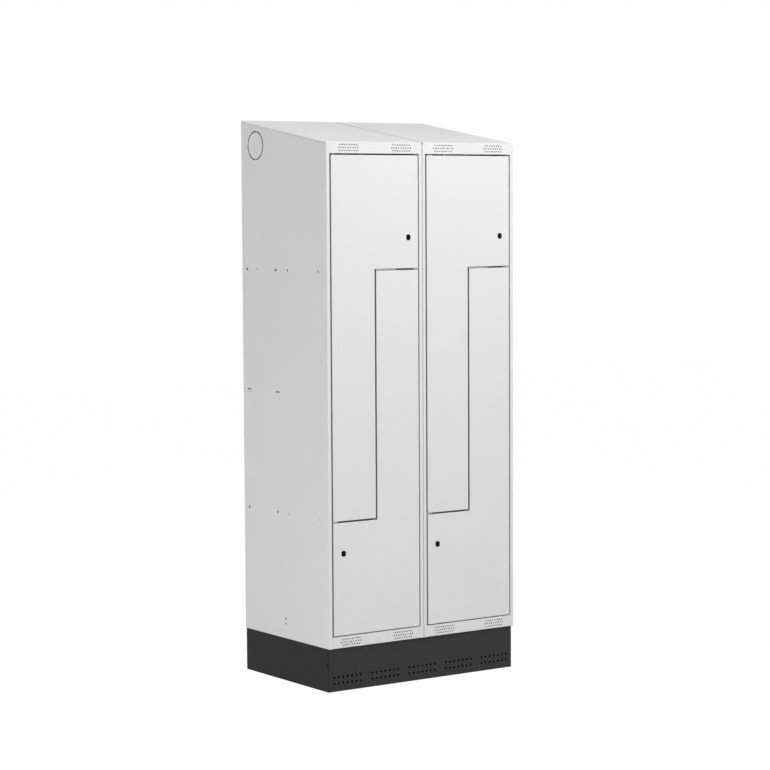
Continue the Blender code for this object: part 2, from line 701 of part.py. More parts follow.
def build_module(label, x_middle, upright_mesh):
    """One locker module with its two compartments."""
    module = bpy.data.objects.new("module_" + label, None)
    PARTS.objects.link(module)
    module.location = (x_middle, -DEPTH / 2, 0)
    side_panel(label + "_side_panel_left", module, -1)
    side_panel(label + "_side_panel_right", module, 1)
    roof_panel(label + "_roof_panel", module)
    floor_panel(label + "_floor_panel", module)
    back_panel(label + "_back_panel", module)
    top_rail(label + "_top_rail", module)
    bottom_rail(label + "_bottom_rail", module)
    divider(label + "_divider", module)
    shelf(label + "_upper_shelf", module, 1, UPPER_STEP, True)
    shelf(label + "_lower_shelf", module, -1, LOWER_STEP, False)

    door(label + "_upper_door", module, -1, LOWER_STEP + STEP_GAP / 2, upright_mesh)
    door(label + "_lower_door", module, 1, UPPER_STEP - STEP_GAP / 2, upright_mesh)
    lock(label + "_upper", module, -1, UPPER_STEP + LOCK_FROM_STEP)
    lock(label + "_lower", module, 1, LOWER_STEP - LOCK_FROM_STEP)

    half_lug = LUG_THICKNESS / 2
    hinge_lug(label + "_upper_door_hinge_lug", module, -1, LOWER_STEP)
    hinge_lug(label + "_lower_door_hinge_lug", module, 1, UPPER_STEP)
    hinge_pin(label + "_upper_door_top_pin", module, -1, TOP_RAIL_BOTTOM, -1)
    hinge_pin(label + "_upper_door_bottom_pin", module, -1, LOWER_STEP + half_lug, 1)
    hinge_pin(label + "_lower_door_top_pin", module, 1, UPPER_STEP - half_lug, -1)
    hinge_pin(label + "_lower_door_bottom_pin", module, 1, BOTTOM_RAIL_TOP, 1)

    hook_x = HALF_WIDTH - HOOK_FROM_WALL
    coat_hook(label + "_upper_coat_hook", module, -hook_x, roof_height(BACK_PANEL_FRONT) - HOOK_BELOW_ROOF)
    coat_hook(label + "_lower_coat_hook", module, hook_x, UPPER_STEP - HOOK_BELOW_SHELF)


def plinth_wall(name, base, side):
    """Front or rear wall of the plinth, a channel that opens inwards; side is -1 in front."""
    inset = PLINTH_FRONT_INSET if side < 0 else PLINTH_REAR_INSET
    face = side * (DEPTH / 2 - inset)
    inner = face - side * PLINTH_FLANGE
    end = MODULE_COUNT * MODULE_WIDTH / 2 - PLINTH_SIDE_INSET - PLINTH_SHEET - CLEARANCE
    top = PLINTH_HEIGHT - CLEARANCE
    profile = [(-end, inner, top), (-end, face, top), (-end, face, 0), (-end, inner, 0)]
    mesh = swept_sheet(name, profile, lambda p: Vector((end, p.y, p.z)), (0, 0, 1))
    wall = add_part(name, mesh, CHARCOAL, base)
    fold(wall, BEND_RADIUS, PLINTH_SHEET)
    if side < 0:
        boolean(wall, plinth_holes(name + "_holes", face + PLINTH_SHEET / 2))


def plinth_holes(name, y):
    """Groups of round holes in rows along the lower part of the plinth's front."""
    centres = []
    for group in range(PLINTH_GROUP_COUNT):
        middle = (group - (PLINTH_GROUP_COUNT - 1) / 2) * PLINTH_GROUP_PITCH
        first = middle - PLINTH_HOLE_PITCH * (PLINTH_HOLES_IN_ROW - 1) / 2
        for z in PLINTH_ROW_HEIGHTS:
            centres += [(first + i * PLINTH_HOLE_PITCH, y, z) for i in range(PLINTH_HOLES_IN_ROW)]
    return rods_mesh(name, centres, "Y", PLINTH_HOLE_RADIUS, PLINTH_SHEET + 2 * OVERRUN, PLINTH_HOLE_SIDES)


def plinth_side(name, base, side):
    """Flat side plate of the plinth, with two small slots near each end."""
    outer = MODULE_COUNT * MODULE_WIDTH / 2 - PLINTH_SIDE_INSET
    xs = sorted((side * outer, side * (outer - PLINTH_SHEET)))
    front = -DEPTH / 2 + PLINTH_FRONT_INSET
    rear = DEPTH / 2 - PLINTH_REAR_INSET
    mesh = box_mesh(name, (xs[0], front, 0), (xs[1], rear, PLINTH_HEIGHT - CLEARANCE))
    plate = add_part(name, mesh, CHARCOAL, base)
    half = PLINTH_SLOT_WIDTH / 2
    bm = bmesh.new()
    for y in (front + PLINTH_SLOT_FROM_END, rear - PLINTH_SLOT_FROM_END):
        for z in PLINTH_SLOT_HEIGHTS:
            low = (xs[0] - OVERRUN, y - half, z - PLINTH_SLOT_HEIGHT / 2)
            high = (xs[1] + OVERRUN, y + half, z + PLINTH_SLOT_HEIGHT / 2)
            add_box(bm, low, high)
    boolean(plate, finish_mesh(name + "_slots", bm))


clear_scene()
PARTS = new_collection("z_locker")
CUTTERS = new_collection("z_locker_cutters", hidden=True)

for index, label in enumerate(("left", "right")):
    middle = (index - (MODULE_COUNT - 1) / 2) * MODULE_WIDTH
    build_module(label, middle, door_mesh(label + "_door_pan"))

plinth = bpy.data.objects.new("plinth", None)
PARTS.objects.link(plinth)
plinth_wall("plinth_front", plinth, -1)
plinth_wall("plinth_rear", plinth, 1)
plinth_side("plinth_left", plinth, -1)
plinth_side("plinth_right", plinth, 1)
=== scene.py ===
# %% [markdown]
# # A Z locker in folded sheet steel
#
# Two locker modules stand side by side on one dark plinth. Each module holds two compartments
# that lock into each other like the strokes of a Z, so its two doors are L-shaped. Nearly every
# piece is one millimetre steel sheet, folded and powder coated. The looks depend on three things:
# the small bright bands along the folds, the dark lines between the doors, and the even, slightly
# satin coat. This lesson builds the pieces one after another over a frame of plain solids.

# %% Load the frame
import math

import bmesh
import bpy
from mathutils import Matrix, Vector


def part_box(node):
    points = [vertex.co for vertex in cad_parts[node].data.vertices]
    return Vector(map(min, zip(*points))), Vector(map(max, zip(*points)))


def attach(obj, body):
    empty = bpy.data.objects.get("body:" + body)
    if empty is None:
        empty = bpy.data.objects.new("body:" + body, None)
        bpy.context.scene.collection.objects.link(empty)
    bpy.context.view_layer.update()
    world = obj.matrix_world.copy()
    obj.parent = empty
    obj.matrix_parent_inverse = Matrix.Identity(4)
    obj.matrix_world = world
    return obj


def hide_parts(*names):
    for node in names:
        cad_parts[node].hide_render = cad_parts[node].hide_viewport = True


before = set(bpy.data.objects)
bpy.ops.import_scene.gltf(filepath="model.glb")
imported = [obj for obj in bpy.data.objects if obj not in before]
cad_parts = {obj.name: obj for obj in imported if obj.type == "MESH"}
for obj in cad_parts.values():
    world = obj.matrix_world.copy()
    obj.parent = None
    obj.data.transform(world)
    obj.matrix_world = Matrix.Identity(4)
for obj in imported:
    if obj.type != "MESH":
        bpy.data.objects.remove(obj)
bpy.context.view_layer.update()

# %% [markdown]
# ## Sizes
#
# A sheet metal cabinet is described by few numbers: the module, the sheet, the fold radius and the
# width of the frame round the doors. They are in metres. Heights of doors and steps are read from
# the frame's solids, so the two can't drift apart. A few very small values open a gap or a line a
# little further than the solids do, because a line one pixel wide is judged by how dark it looks.

# %% Sizes of the sheet work
MODULE = 0.400
DEPTH = 0.550
FRONT = -DEPTH / 2
PLINTH_TOP = 0.152
FRONT_TOP = 1.890
ROOF_RISE = 0.087
SHEET = 0.001
FOLD = 0.003
OUTER_FOLD = 0.004
CRISP_FOLD = 0.0015
STILE = 0.0145
STOP_DEPTH = 0.0185
STOP_WIDTH = 0.008
ROOF_EDGE = 0.006
TAB_DROP = 0.0025
SEAM = 0.0003
HAIRLINE = 0.00005
OVERRUN = 0.004
HALF = MODULE / 2 - SEAM / 2
MODULES = {"left": -MODULE / 2, "right": MODULE / 2}
COMPARTMENTS = [label + which for label in MODULES for which in ("_upper", "_lower")]


def roof_at(y):
    """Height of the roof plane at a distance y behind the front."""
    return FRONT_TOP + ROOF_RISE * y / DEPTH


def span(node, axis):
    """Lowest and highest coordinate of a solid of the frame, along an axis."""
    low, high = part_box(node)
    return low[axis], high[axis]


rail_bottom = span("left_top_rail", 2)[0] + TAB_DROP
rail_top = span("left_bottom_rail", 2)[1]
upper_step = sum(span("left_lower_door_hinge_lug", 2)) / 2
lower_step = sum(span("left_upper_door_hinge_lug", 2)) / 2
step_gap = 2 * (upper_step - span("left_lower_door", 2)[1])
print("steps at", round(lower_step, 4), "and", round(upper_step, 4))

# %% [markdown]
# ## Helpers for sheet
#
# A folded piece starts as a surface with no thickness: a line of points that is swept along. A
# Bevel modifier rounds its folds and Solidify gives it the sheet's thickness towards the inside.
# Holes are cut last. The result is turned into a plain mesh at once, so every finished piece is
# simple to inspect and to hand on. Weighted normals keep the large faces flat beside the folds.


# %% Run modifiers and keep the plain mesh
def linked(name, data):
    """A new object in the scene."""
    made = bpy.data.objects.new(name, data)
    bpy.context.scene.collection.objects.link(made)
    return made


def plain_mesh(carrier):
    """What an object looks like after its modifiers, as a mesh. The object is removed."""
    bpy.context.view_layer.update()
    graph = bpy.context.evaluated_depsgraph_get()
    plain = bpy.data.meshes.new_from_object(carrier.evaluated_get(graph), depsgraph=graph)
    bpy.data.objects.remove(carrier)
    return plain


def baked(name, mesh, steps):
    """The mesh after a list of (modifier type, settings)."""
    carrier = linked(name, mesh)
    for kind, settings in steps:
        modifier = carrier.modifiers.new(kind, kind)
        for key, value in settings.items():
            setattr(modifier, key, value)
    return plain_mesh(carrier)


def smoothed(name, mesh, angle=30.0):
    """Smooth shading over the folds, with flat faces kept flat."""
    mesh.shade_smooth()
    mesh.set_sharp_from_angle(angle=math.radians(angle))
    weights = {"mode": "FACE_AREA", "weight": 100, "keep_sharp": True}
    return baked(name, mesh, [("WEIGHTED_NORMAL", weights)])


# %% Sweep, fold and cut
def to_mesh(name, bm):
    mesh = bpy.data.meshes.new(name)
    bm.to_mesh(mesh)
    bm.free()
    return mesh


def swept(name, profile, sweep, outward):
    """A line of points joined to where sweep(point) puts them. Its first strip faces outward."""
    bm = bmesh.new()
    near = [bm.verts.new(point) for point in profile]
    far = [bm.verts.new(sweep(Vector(point))) for point in profile]
    for i in range(len(near) - 1):
        bm.faces.new((near[i], near[i + 1], far[i + 1], far[i]))
    bm.normal_update()
    bm.faces.ensure_lookup_table()
    if bm.faces[0].normal.dot(Vector(outward)) < 0:
        bmesh.ops.reverse_faces(bm, faces=bm.faces)
    return to_mesh(name, bm)


def bevel(width, segments, degrees=30):
    """A step for baked that rounds the edges sharper than an angle."""
    return "BEVEL", {"width": width, "segments": segments, "limit_method": "ANGLE",
                     "angle_limit": math.radians(degrees)}


def folded(name, mesh, radius=FOLD, thickness=SHEET, segments=4):
    """An open surface made into sheet. With a radius, its sharp folds are rounded first."""
    wall = {"thickness": thickness, "offset": -1.0, "use_even_offset": True}
    steps = [bevel(radius, segments)] if radius else []
    return baked(name, mesh, steps + [("SOLIDIFY", wall)])


def rounded(points, radii, steps=6):
    """A line of 2D points with an arc in place of each inner corner."""
    line = [Vector(points[0])]
    for before, corner, after, radius in zip(points, points[1:], points[2:], radii):
        here = Vector(corner)
        back, on = (Vector(before) - here).normalized(), (Vector(after) - here).normalized()
        half = back.angle(on) / 2
        centre = here + (back + on).normalized() * radius / math.sin(half)
        first = here + back * radius / math.tan(half) - centre
        swing = (math.pi - 2 * half) * (1 if first.orthogonal().dot(back) < 0 else -1)
        for i in range(steps + 1):
            line.append(centre + Matrix.Rotation(swing * i / steps, 2) @ first)
    return [tuple(p) for p in line + [Vector(points[-1])]]


def punched(name, mesh, *tools):
    """The mesh with the volume of each tool taken out of it."""
    for tool in tools:
        cutter = linked(name + "_tool", tool)
        cut = {"operation": "DIFFERENCE", "solver": "EXACT", "object": cutter}
        mesh = baked(name, mesh, [("BOOLEAN", cut)])
        bpy.data.objects.remove(cutter)
    return mesh


# %% Plain shapes
def box(name, low, high):
    """A block between two corners, for tools and small plates."""
    low, high = Vector(low), Vector(high)
    bm = bmesh.new()
    size = Matrix.Diagonal((*(high - low), 1.0))
    bmesh.ops.create_cube(bm, size=1.0, matrix=Matrix.Translation((low + high) / 2) @ size)
    return to_mesh(name, bm)


def opened(name, mesh, side):
    """The mesh without the faces that look to one side."""
    bm = bmesh.new()
    bm.from_mesh(mesh)
    away = [f for f in bm.faces if f.normal.dot(Vector(side)) > 0.9]
    bmesh.ops.delete(bm, geom=away, context="FACES")
    return to_mesh(name, bm)


def joined(name, meshes):
    """Several meshes in one, for tools that cut together."""
    bm = bmesh.new()
    for mesh in meshes:
        bm.from_mesh(mesh)
    return to_mesh(name, bm)


def slab(name, outline, y_front, y_back):
    """A flat outline in x and z, with a thickness from y_front to y_back."""
    bm = bmesh.new()
    face = bm.faces.new([bm.verts.new((x, y_front, z)) for x, z in outline])
    bm.normal_update()
    if face.normal.y > 0:
        bmesh.ops.reverse_faces(bm, faces=[face])
    made = bmesh.ops.extrude_face_region(bm, geom=[face])["geom"]
    pushed = [item for item in made if isinstance(item, bmesh.types.BMVert)]
    bmesh.ops.translate(bm, verts=pushed, vec=(0, y_back - y_front, 0))
    bmesh.ops.recalc_face_normals(bm, faces=bm.faces)
    return to_mesh(name, bm)


def arc(x, z, radius, first, last, steps):
    """Points on a circle between two angles in degrees."""
    angles = [math.radians(first + (last - first) * i / steps) for i in range(steps + 1)]
    return [(x + radius * math.cos(a), z + radius * math.sin(a)) for a in angles]


MERGE = 0.000005


def closed(name, bm):
    """A closed mesh: its seams are merged and its faces turned outward."""
    bmesh.ops.remove_doubles(bm, verts=bm.verts, dist=MERGE)
    bmesh.ops.recalc_face_normals(bm, faces=bm.faces)
    return to_mesh(name, bm)


def turned(name, profile, steps):
    """A round piece: a profile of (radius, height) points spun about Z."""
    bm = bmesh.new()
    line = [bm.verts.new((radius, 0, height)) for radius, height in profile]
    edges = [bm.edges.new(pair) for pair in zip(line, line[1:])]
    bmesh.ops.spin(bm, geom=line + edges, cent=(0, 0, 0), axis=(0, 0, 1), angle=math.tau,
                   steps=steps)
    return closed(name, bm)


def drill(radius, reach, steps):
    """A round tool about the origin, along Z."""
    return turned("drill", [(0, -reach), (radius, -reach), (radius, reach), (0, reach)], steps)


# %% Put a piece in the scene
def moved(mesh, x=0.0, y=0.0, z=0.0):
    mesh.transform(Matrix.Translation((x, y, z)))
    return mesh


def put(name, mesh, finish, body, stands_for=()):
    """A finished piece at the origin, with its finish, on its body, in place of solids."""
    piece = linked(name, mesh)
    mesh.name = name
    mesh.materials.clear()
    mesh.materials.append(finish)
    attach(piece, body)
    if stands_for:
        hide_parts(*stands_for)
    return piece


def second_finish(piece, finish, chosen):
    """Another finish on the faces that chosen(normal, centre) picks."""
    piece.data.materials.append(finish)
    for face in piece.data.polygons:
        if chosen(face.normal, face.center):
            face.material_index = len(piece.data.materials) - 1
    return piece


BESIDE_SEAM = 0.005


def at_seam(lean):
    """A choice of the faces beside the seam of the two modules that turn towards it."""

    def chosen(normal, centre):
        beside = abs(centre.x) < BESIDE_SEAM
        return beside and -normal.x * centre.x > lean * abs(centre.x)

    return chosen


# %% [markdown]
# ## Finishes
#
# Powder coat is a plastic skin baked onto the steel. It is even in colour, but its surface has the
# faint waviness of orange peel, about a millimetre across, and a little more gloss on the waves.
# A darker grey is painted shade, for the faces inside the gaps and seams, and a lighter grey is a
# painted highlight, for the rims of the roof; a darker charcoal on the sides of the plinth is
# painted shade too. A finish is a small network of nodes. Writing it with many calls is hard to
# read, so one
# class wraps a socket: arithmetic on it adds Math nodes, and one method adds any other node.


# %% Arithmetic on sockets
class Wire:
    """A socket in a node tree. Sums and products of wires add Math nodes."""

    def __init__(self, tree, socket=None):
        self.tree = tree
        self.socket = socket

    def node(self, kind, inputs=None, output=0, **settings):
        """A new node, as a wire from one of its outputs."""
        made = self.tree.nodes.new(kind)
        for key, value in settings.items():
            setattr(made, key, value)
        for key, value in (inputs or {}).items():
            if isinstance(value, Wire):
                self.tree.links.new(value.socket, made.inputs[key])
            else:
                made.inputs[key].default_value = value
        return Wire(self.tree, made.outputs[output] if made.outputs else None)

    def other(self, output):
        """Another output of the same node."""
        return Wire(self.tree, self.socket.node.outputs[output])

    def math(self, operation, first, second=0.0):
        return self.node("ShaderNodeMath", {0: first, 1: second}, operation=operation)

    def __add__(self, other):
        return self.math("ADD", self, other)

    def __sub__(self, other):
        return self.math("SUBTRACT", self, other)

    def __rsub__(self, other):
        return self.math("SUBTRACT", other, self)

    def __mul__(self, other):
        return self.math("MULTIPLY", self, other)

    def __truediv__(self, other):
        return self.math("DIVIDE", self, other)

    __radd__ = __add__
    __rmul__ = __mul__

    def mix(self, first, second):
        """Two colours mixed by this value."""
        inputs = {0: self, 6: first, 7: second}
        return self.node("ShaderNodeMix", inputs, output=2, data_type="RGBA")


# %% A finish from a few wires
def finish(name, build, **constants):
    """A material whose Principled BSDF gets constants, and the wires that build returns."""
    material = bpy.data.materials.new(name)
    material.use_nodes = True
    tree = material.node_tree
    shader = tree.nodes["Principled BSDF"]
    for key, value in constants.items():
        shader.inputs[key.replace("_", " ")].default_value = value
    start = Wire(tree)
    place = start.node("ShaderNodeTexCoord", output="Object")
    for key, wire in build(start, place).items():
        tree.links.new(wire.socket, shader.inputs[key])
    return material


def noise(start, place, scale, detail=2.0):
    inputs = {"Vector": place, "Scale": scale, "Detail": detail}
    return start.node("ShaderNodeTexNoise", inputs)


def bumped(start, height, distance):
    """The normal of a surface with waves of a height, in metres."""
    inputs = {"Strength": 1.0, "Distance": distance, "Height": height}
    return start.node("ShaderNodeBump", inputs)


def grey(value, warm=0.0):
    return (value * (1 + warm), value, value * (1 - warm), 1.0)


# %% Powder coats
DRIFT_SCALE, PEEL_SCALE, SPECKLE_SCALE = 4.0, 650.0, 3200.0
DRIFT = 0.015
FINE_PEEL, COARSE_PEEL = 0.000008, 0.00003


def powder(shade, warm, peel_height, roughness):
    """Powder coat: slow drift of shade, orange peel, and speckles far below a millimetre."""

    def build(start, place):
        drift = noise(start, place, DRIFT_SCALE)
        peel = noise(start, place, PEEL_SCALE)
        speckle = noise(start, place, SPECKLE_SCALE, 1.0)
        tone = drift.mix(grey(shade * (1 - DRIFT), warm), grey(shade * (1 + DRIFT), warm))
        return {"Base Color": tone, "Roughness": roughness - 0.05 + peel * 0.10,
                "Normal": bumped(start, peel * 0.75 + speckle * 0.25, peel_height)}

    return build


coat = finish("light_powder_coat", powder(0.80, 0.0, FINE_PEEL, 0.42))
# painted shade: a dark grey for the faces inside gaps and seams, where shadow falls
thin_coat = finish("painted_shade_in_gaps", powder(0.38, 0.0, FINE_PEEL, 0.55))
# painted highlight: a lighter grey for the rims of the roof, where light catches the folds
full_coat = finish("painted_highlight_on_rims", powder(0.95, 0.0, FINE_PEEL, 0.42))
coat_dark = finish("charcoal_powder_coat", powder(0.022, -0.007, COARSE_PEEL, 0.60),
                   Specular_IOR_Level=0.3)
# painted shade: the same charcoal paint, darker, for the sides of the plinth
coat_dark_side = finish("charcoal_painted_shade_of_sides", powder(0.0105, -0.005, COARSE_PEEL, 0.60),
                        Specular_IOR_Level=0.2)
print("coats:", coat.name, thin_coat.name, full_coat.name, coat_dark.name, coat_dark_side.name)


# %% Lock, zinc and rubber
CAST, DRAWN, GRAINY = 0.00001, 0.00001, 0.00003


def satin(shade, wave):
    """Painted casting: one shade with a fine waviness."""

    def build(start, place):
        ripple = noise(start, place, 900.0)
        return {"Base Color": ripple.mix(grey(shade * 0.9), grey(shade * 1.1)),
                "Roughness": ripple * 0.12 + 0.45, "Normal": bumped(start, ripple, wave)}

    return build


def plated(start, place):
    """Zinc plating: soft clouds in the shine and fine drawing lines."""
    clouds = noise(start, place, 220.0, 3.0)
    stretch = start.node("ShaderNodeMapping", {"Vector": place, "Scale": (1.0, 1.0, 14.0)})
    lines = noise(start, stretch, 500.0)
    return {"Base Color": clouds.mix(grey(0.50, -0.02), grey(0.66, -0.01)),
            "Roughness": clouds * 0.20 + 0.24, "Normal": bumped(start, lines, DRAWN)}


def soft_rubber(start, place):
    """Rubber: almost black, matt and grainy."""
    grain = noise(start, place, 1500.0)
    return {"Base Color": grain.mix(grey(0.016), grey(0.03)), "Roughness": grain * 0.15 + 0.70,
            "Normal": bumped(start, grain, GRAINY)}


lock_black = finish("lock_black", satin(0.0015, CAST), Specular_IOR_Level=0.06)
zinc = finish("zinc_plated_steel", plated, Metallic=1.0)
rubber = finish("buffer_rubber", soft_rubber)
print("small finishes:", lock_black.name, zinc.name, rubber.name)

# %% [markdown]
# ## Punched holes
#
# The rails carry two fields of vent holes, and the plinth five. A punching press works to a rule:
# so many columns and rows at a pitch, every other row shifted by half a pitch. Geometry Nodes
# follow the same rule: points get their place from their index, and a round tool is put on each.
# The tools are then taken out of the sheet with one Boolean.


# %% The punch pattern as a node tree
def tree_inputs(tree, sockets):
    """Named inputs on a Geometry Nodes tree: their identifiers and wires, and a wire to start."""
    ids = {}
    for name, kind in sockets:
        item = tree.interface.new_socket(name, in_out="INPUT", socket_type="NodeSocket" + kind)
        ids[name] = item.identifier
    tree.interface.new_socket("Geometry", in_out="OUTPUT", socket_type="NodeSocketGeometry")
    source = tree.nodes.new("NodeGroupInput")
    given = {socket.name: Wire(tree, socket) for socket in source.outputs if socket.name}
    return ids, given, Wire(tree)


def made_real(start, copies, material):
    """The end of a tree: copies made real, and their finish."""
    real = start.node("GeometryNodeRealizeInstances", {"Geometry": copies})
    coated = start.node("GeometryNodeSetMaterial", {"Geometry": real, "Material": material})
    start.node("NodeGroupOutput", {"Geometry": coated})


punch_tree = bpy.data.node_groups.new("punch pattern", "GeometryNodeTree")
punch_ids, given, start = tree_inputs(punch_tree, [
    ("Geometry", "Geometry"), ("Columns", "Int"), ("Rows", "Int"), ("Pitch", "Float"),
    ("Row pitch", "Float"), ("Stagger", "Float"), ("Radius", "Float"), ("Length", "Float"),
    ("Sides", "Int"), ("Material", "Material")])
index = start.node("GeometryNodeInputIndex")
row = start.math("FLOOR", (index + 0.5) / given["Columns"])
column = index - row * given["Columns"]
short = start.math("MULTIPLY", 1 - start.math("MODULO", row, 2.0), given["Stagger"])
along = (column + short * 0.5 - (given["Columns"] - 1) * 0.5) * given["Pitch"]
up = (row - (given["Rows"] - 1) * 0.5) * given["Row pitch"]
spot = start.node("ShaderNodeCombineXYZ", {"X": along, "Z": up})
points = start.node("GeometryNodePoints",
                    {"Count": given["Columns"] * given["Rows"], "Position": spot})
last = start.math("GREATER_THAN", column, given["Columns"] - 1.5) * short
kept = start.node("GeometryNodeDeleteGeometry", {"Geometry": points, "Selection": last},
                  domain="POINT")
tool = start.node("GeometryNodeMeshCylinder",
                  {"Vertices": given["Sides"], "Radius": given["Radius"], "Depth": given["Length"]})
lying = start.node("GeometryNodeTransform",
                   {"Geometry": tool, "Rotation": (math.pi / 2, 0, 0)})
placed = start.node("GeometryNodeInstanceOnPoints", {"Points": kept, "Instance": lying})
made_real(start, placed, given["Material"])


# %% Use the pattern
def run_tree(name, tree, ids, values, mesh=None):
    """A Geometry Nodes tree run once, with its result as a plain mesh."""
    carrier = linked(name, mesh or bpy.data.meshes.new(name))
    modifier = carrier.modifiers.new("nodes", "NODES")
    modifier.node_group = tree
    for key, value in values.items():
        modifier[ids[key]] = value
    return plain_mesh(carrier)


ROUND = 20


def punch(name, columns, rows, pitch, row_pitch, stagger, radius, sides=ROUND):
    """Round tools along Y, in rows of columns, about the origin."""
    values = {"Columns": columns, "Rows": rows, "Pitch": pitch, "Row pitch": row_pitch,
              "Stagger": stagger, "Radius": radius, "Length": 2 * OVERRUN, "Sides": sides,
              "Material": coat}
    return run_tree(name, punch_tree, punch_ids, values)


VENT_PITCH = 0.010
VENT_RADIUS = 0.0025
vents = punch("vents", 9, 3, VENT_PITCH, VENT_PITCH, 1.0, VENT_RADIUS)
print("one field of vents has", len(vents.vertices) // (2 * ROUND), "holes")

# %% [markdown]
# ## Side walls
#
# A side wall is folded four times: a flange at the rear, the wall, the narrow stile beside the
# doors, a return along the stile and, beside the free edge of a door, a strip that stops it. It
# is one swept line. Its top follows the slope of the roof. A knock-out disc near the rear top
# corner is cut round by a fine slot, and only three small bridges hold it. The rows of holes take
# the bolts that join two modules or hold them to a wall, so most come in the same places at two
# heights.


# %% The knock-out disc
DISC_FROM_REAR = 0.0965
DISC_BELOW_ROOF = 0.0764
SLOT_OUTSIDE, SLOT_INSIDE = 0.0515, 0.0469
BRIDGES = (8, 97, 267)
HALF_BRIDGE = 2


def knockout(x):
    """Curved slots round the knock-out disc, between its bridges."""
    y = DEPTH - DISC_FROM_REAR
    z = roof_at(y) - DISC_BELOW_ROOF
    tools = []
    for first, end in zip(BRIDGES, BRIDGES[1:] + (BRIDGES[0] + 360,)):
        first, end = first + HALF_BRIDGE, end - HALF_BRIDGE
        ring = arc(0, 0, SLOT_OUTSIDE, first, end, 24) + arc(0, 0, SLOT_INSIDE, end, first, 24)
        tools.append(slab("slot", ring, -OVERRUN, OVERRUN))
    mesh = joined("knockout", tools)
    mesh.transform(Matrix.Rotation(math.pi / 2, 4, "Z"))
    return moved(mesh, x, y, z)


# %% Rows of holes
def row_of_holes(height, *backs):
    """Places on a side wall: distances from the rear, all at one height."""
    return [(DEPTH - back, height) for back in backs]


HIGH_ROW, LOW_ROW = upper_step - 0.003, lower_step + 0.006
MIDDLE_ROW = (upper_step + lower_step) / 2
FOOT_ROWS = (0.204, 0.2215)
REAR, MIDWAY, PAST_MIDWAY, FORWARD = 0.036, 0.2245, 0.299, 0.493
FOOT, PILOT = 0.272, 0.1035
BOLT_HOLES = row_of_holes(HIGH_ROW, REAR, MIDWAY) + row_of_holes(LOW_ROW, REAR, MIDWAY)
PAIRED_HOLES = row_of_holes(MIDDLE_ROW, REAR, 0.0505, 0.2225, 0.237)
PLAIN_HOLES = row_of_holes(HIGH_ROW, PAST_MIDWAY, FORWARD)
PLAIN_HOLES += [(DEPTH - FOOT, height) for height in FOOT_ROWS]
PILOT_HOLES = row_of_holes(HIGH_ROW, PILOT) + row_of_holes(LOW_ROW, PAST_MIDWAY, FORWARD)
SIDE_HOLES = ((0.0048, BOLT_HOLES), (0.0045, PAIRED_HOLES), (0.0038, PLAIN_HOLES),
              (0.0028, PILOT_HOLES))
print("holes in a side wall:", sum(len(spots) for radius, spots in SIDE_HOLES))


# %% One side wall
REVEAL = 0.0019
REAR_FLANGE = 0.015
ROOF_LINE = 0.0006
STOP_REAR = 0.024
PAST_END = 0.01
FACES_SEAM = 0.8


def sheet_piece(name, mesh, x=0.0, y=0.0, ending="_folded"):
    """A finished piece of sheet with the light coat, on the cabinet, in place of its solid."""
    return put(name + ending, moved(smoothed(name, mesh), x, y), coat, "cabinet", [name])


def side_holes(x):
    """Tools for all the holes of a side wall."""
    holes = []
    for radius, spots in SIDE_HOLES:
        hole = punch("hole", 1, 1, VENT_PITCH, VENT_PITCH, 0.0, radius)
        hole.transform(Matrix.Rotation(math.pi / 2, 4, "Z"))
        holes += [moved(hole.copy(), x, y, z) for y, z in spots]
    return joined("holes", holes)


def side_wall(label, hand, middle):
    """The wall on one side of a module; hand is -1 on the left and 1 on the right."""
    name = label + "_side_panel_" + ("left" if hand < 0 else "right")
    outer, inner = hand * HALF, hand * (HALF - STILE + (REVEAL if hand < 0 else 0))
    plan = [(outer - hand * REAR_FLANGE, DEPTH), (outer, DEPTH), (outer, 0), (inner, 0),
            (inner, STOP_DEPTH), (inner - hand * STOP_WIDTH, STOP_DEPTH)]
    plan = rounded(plan, (FOLD, OUTER_FOLD, CRISP_FOLD, CRISP_FOLD))
    profile = [(x, y, PLINTH_TOP) for x, y in plan]
    mesh = swept(name, profile,
                 lambda p: Vector((p.x, p.y, roof_at(p.y) - ROOF_EDGE - ROOF_LINE)), (0, 1, 0))
    mesh = folded(name, mesh, radius=0)
    near, far = hand * (HALF - STILE + FOLD), inner - hand * (STOP_WIDTH + OVERRUN)
    x0, x1 = sorted((near, far))
    low = box("low", (x0, -OVERRUN, PLINTH_TOP - PAST_END), (x1, STOP_REAR, rail_top + HAIRLINE))
    high = box("high", (x0, -OVERRUN, rail_bottom - HAIRLINE),
               (x1, STOP_REAR, FRONT_TOP + PAST_END))
    x0, x1 = sorted((inner + hand * (SHEET + OVERRUN), far))
    bottom, top = rail_top - PAST_END, upper_step + step_gap / 2
    if hand < 0:
        bottom, top = lower_step - step_gap / 2, rail_bottom + PAST_END
    strip = box("strip", (x0, STOP_DEPTH - FOLD, bottom), (x1, STOP_REAR, top))
    wall = hand * (HALF - SHEET / 2)
    notches = joined("notches", [low, high])
    mesh = punched(name, mesh, notches, strip, knockout(wall), side_holes(wall))
    piece = sheet_piece(name, mesh, middle, FRONT)
    # painted shade: the faces that turn to the seam between the modules get the dark grey
    return second_finish(piece, thin_coat, at_seam(FACES_SEAM))


for label, middle in MODULES.items():
    for hand in (-1, 1):
        wall_piece = side_wall(label, hand, middle)
print("last side wall:", len(wall_piece.data.polygons), "faces")

# %% [markdown]
# ## Roof, rails and floor
#
# The roof is a sheet that rises towards the rear, with a short fold on all four sides. The outer
# folds catch the light and are painted a lighter grey too, a painted highlight that makes the
# bright rim. The two folds in the middle stand a hair apart and are painted a dark grey, painted
# shade that makes the dark line of the seam. The rails close the frame above and below the doors.
# They are welded flush with the stiles, so they need only one fold along each edge.


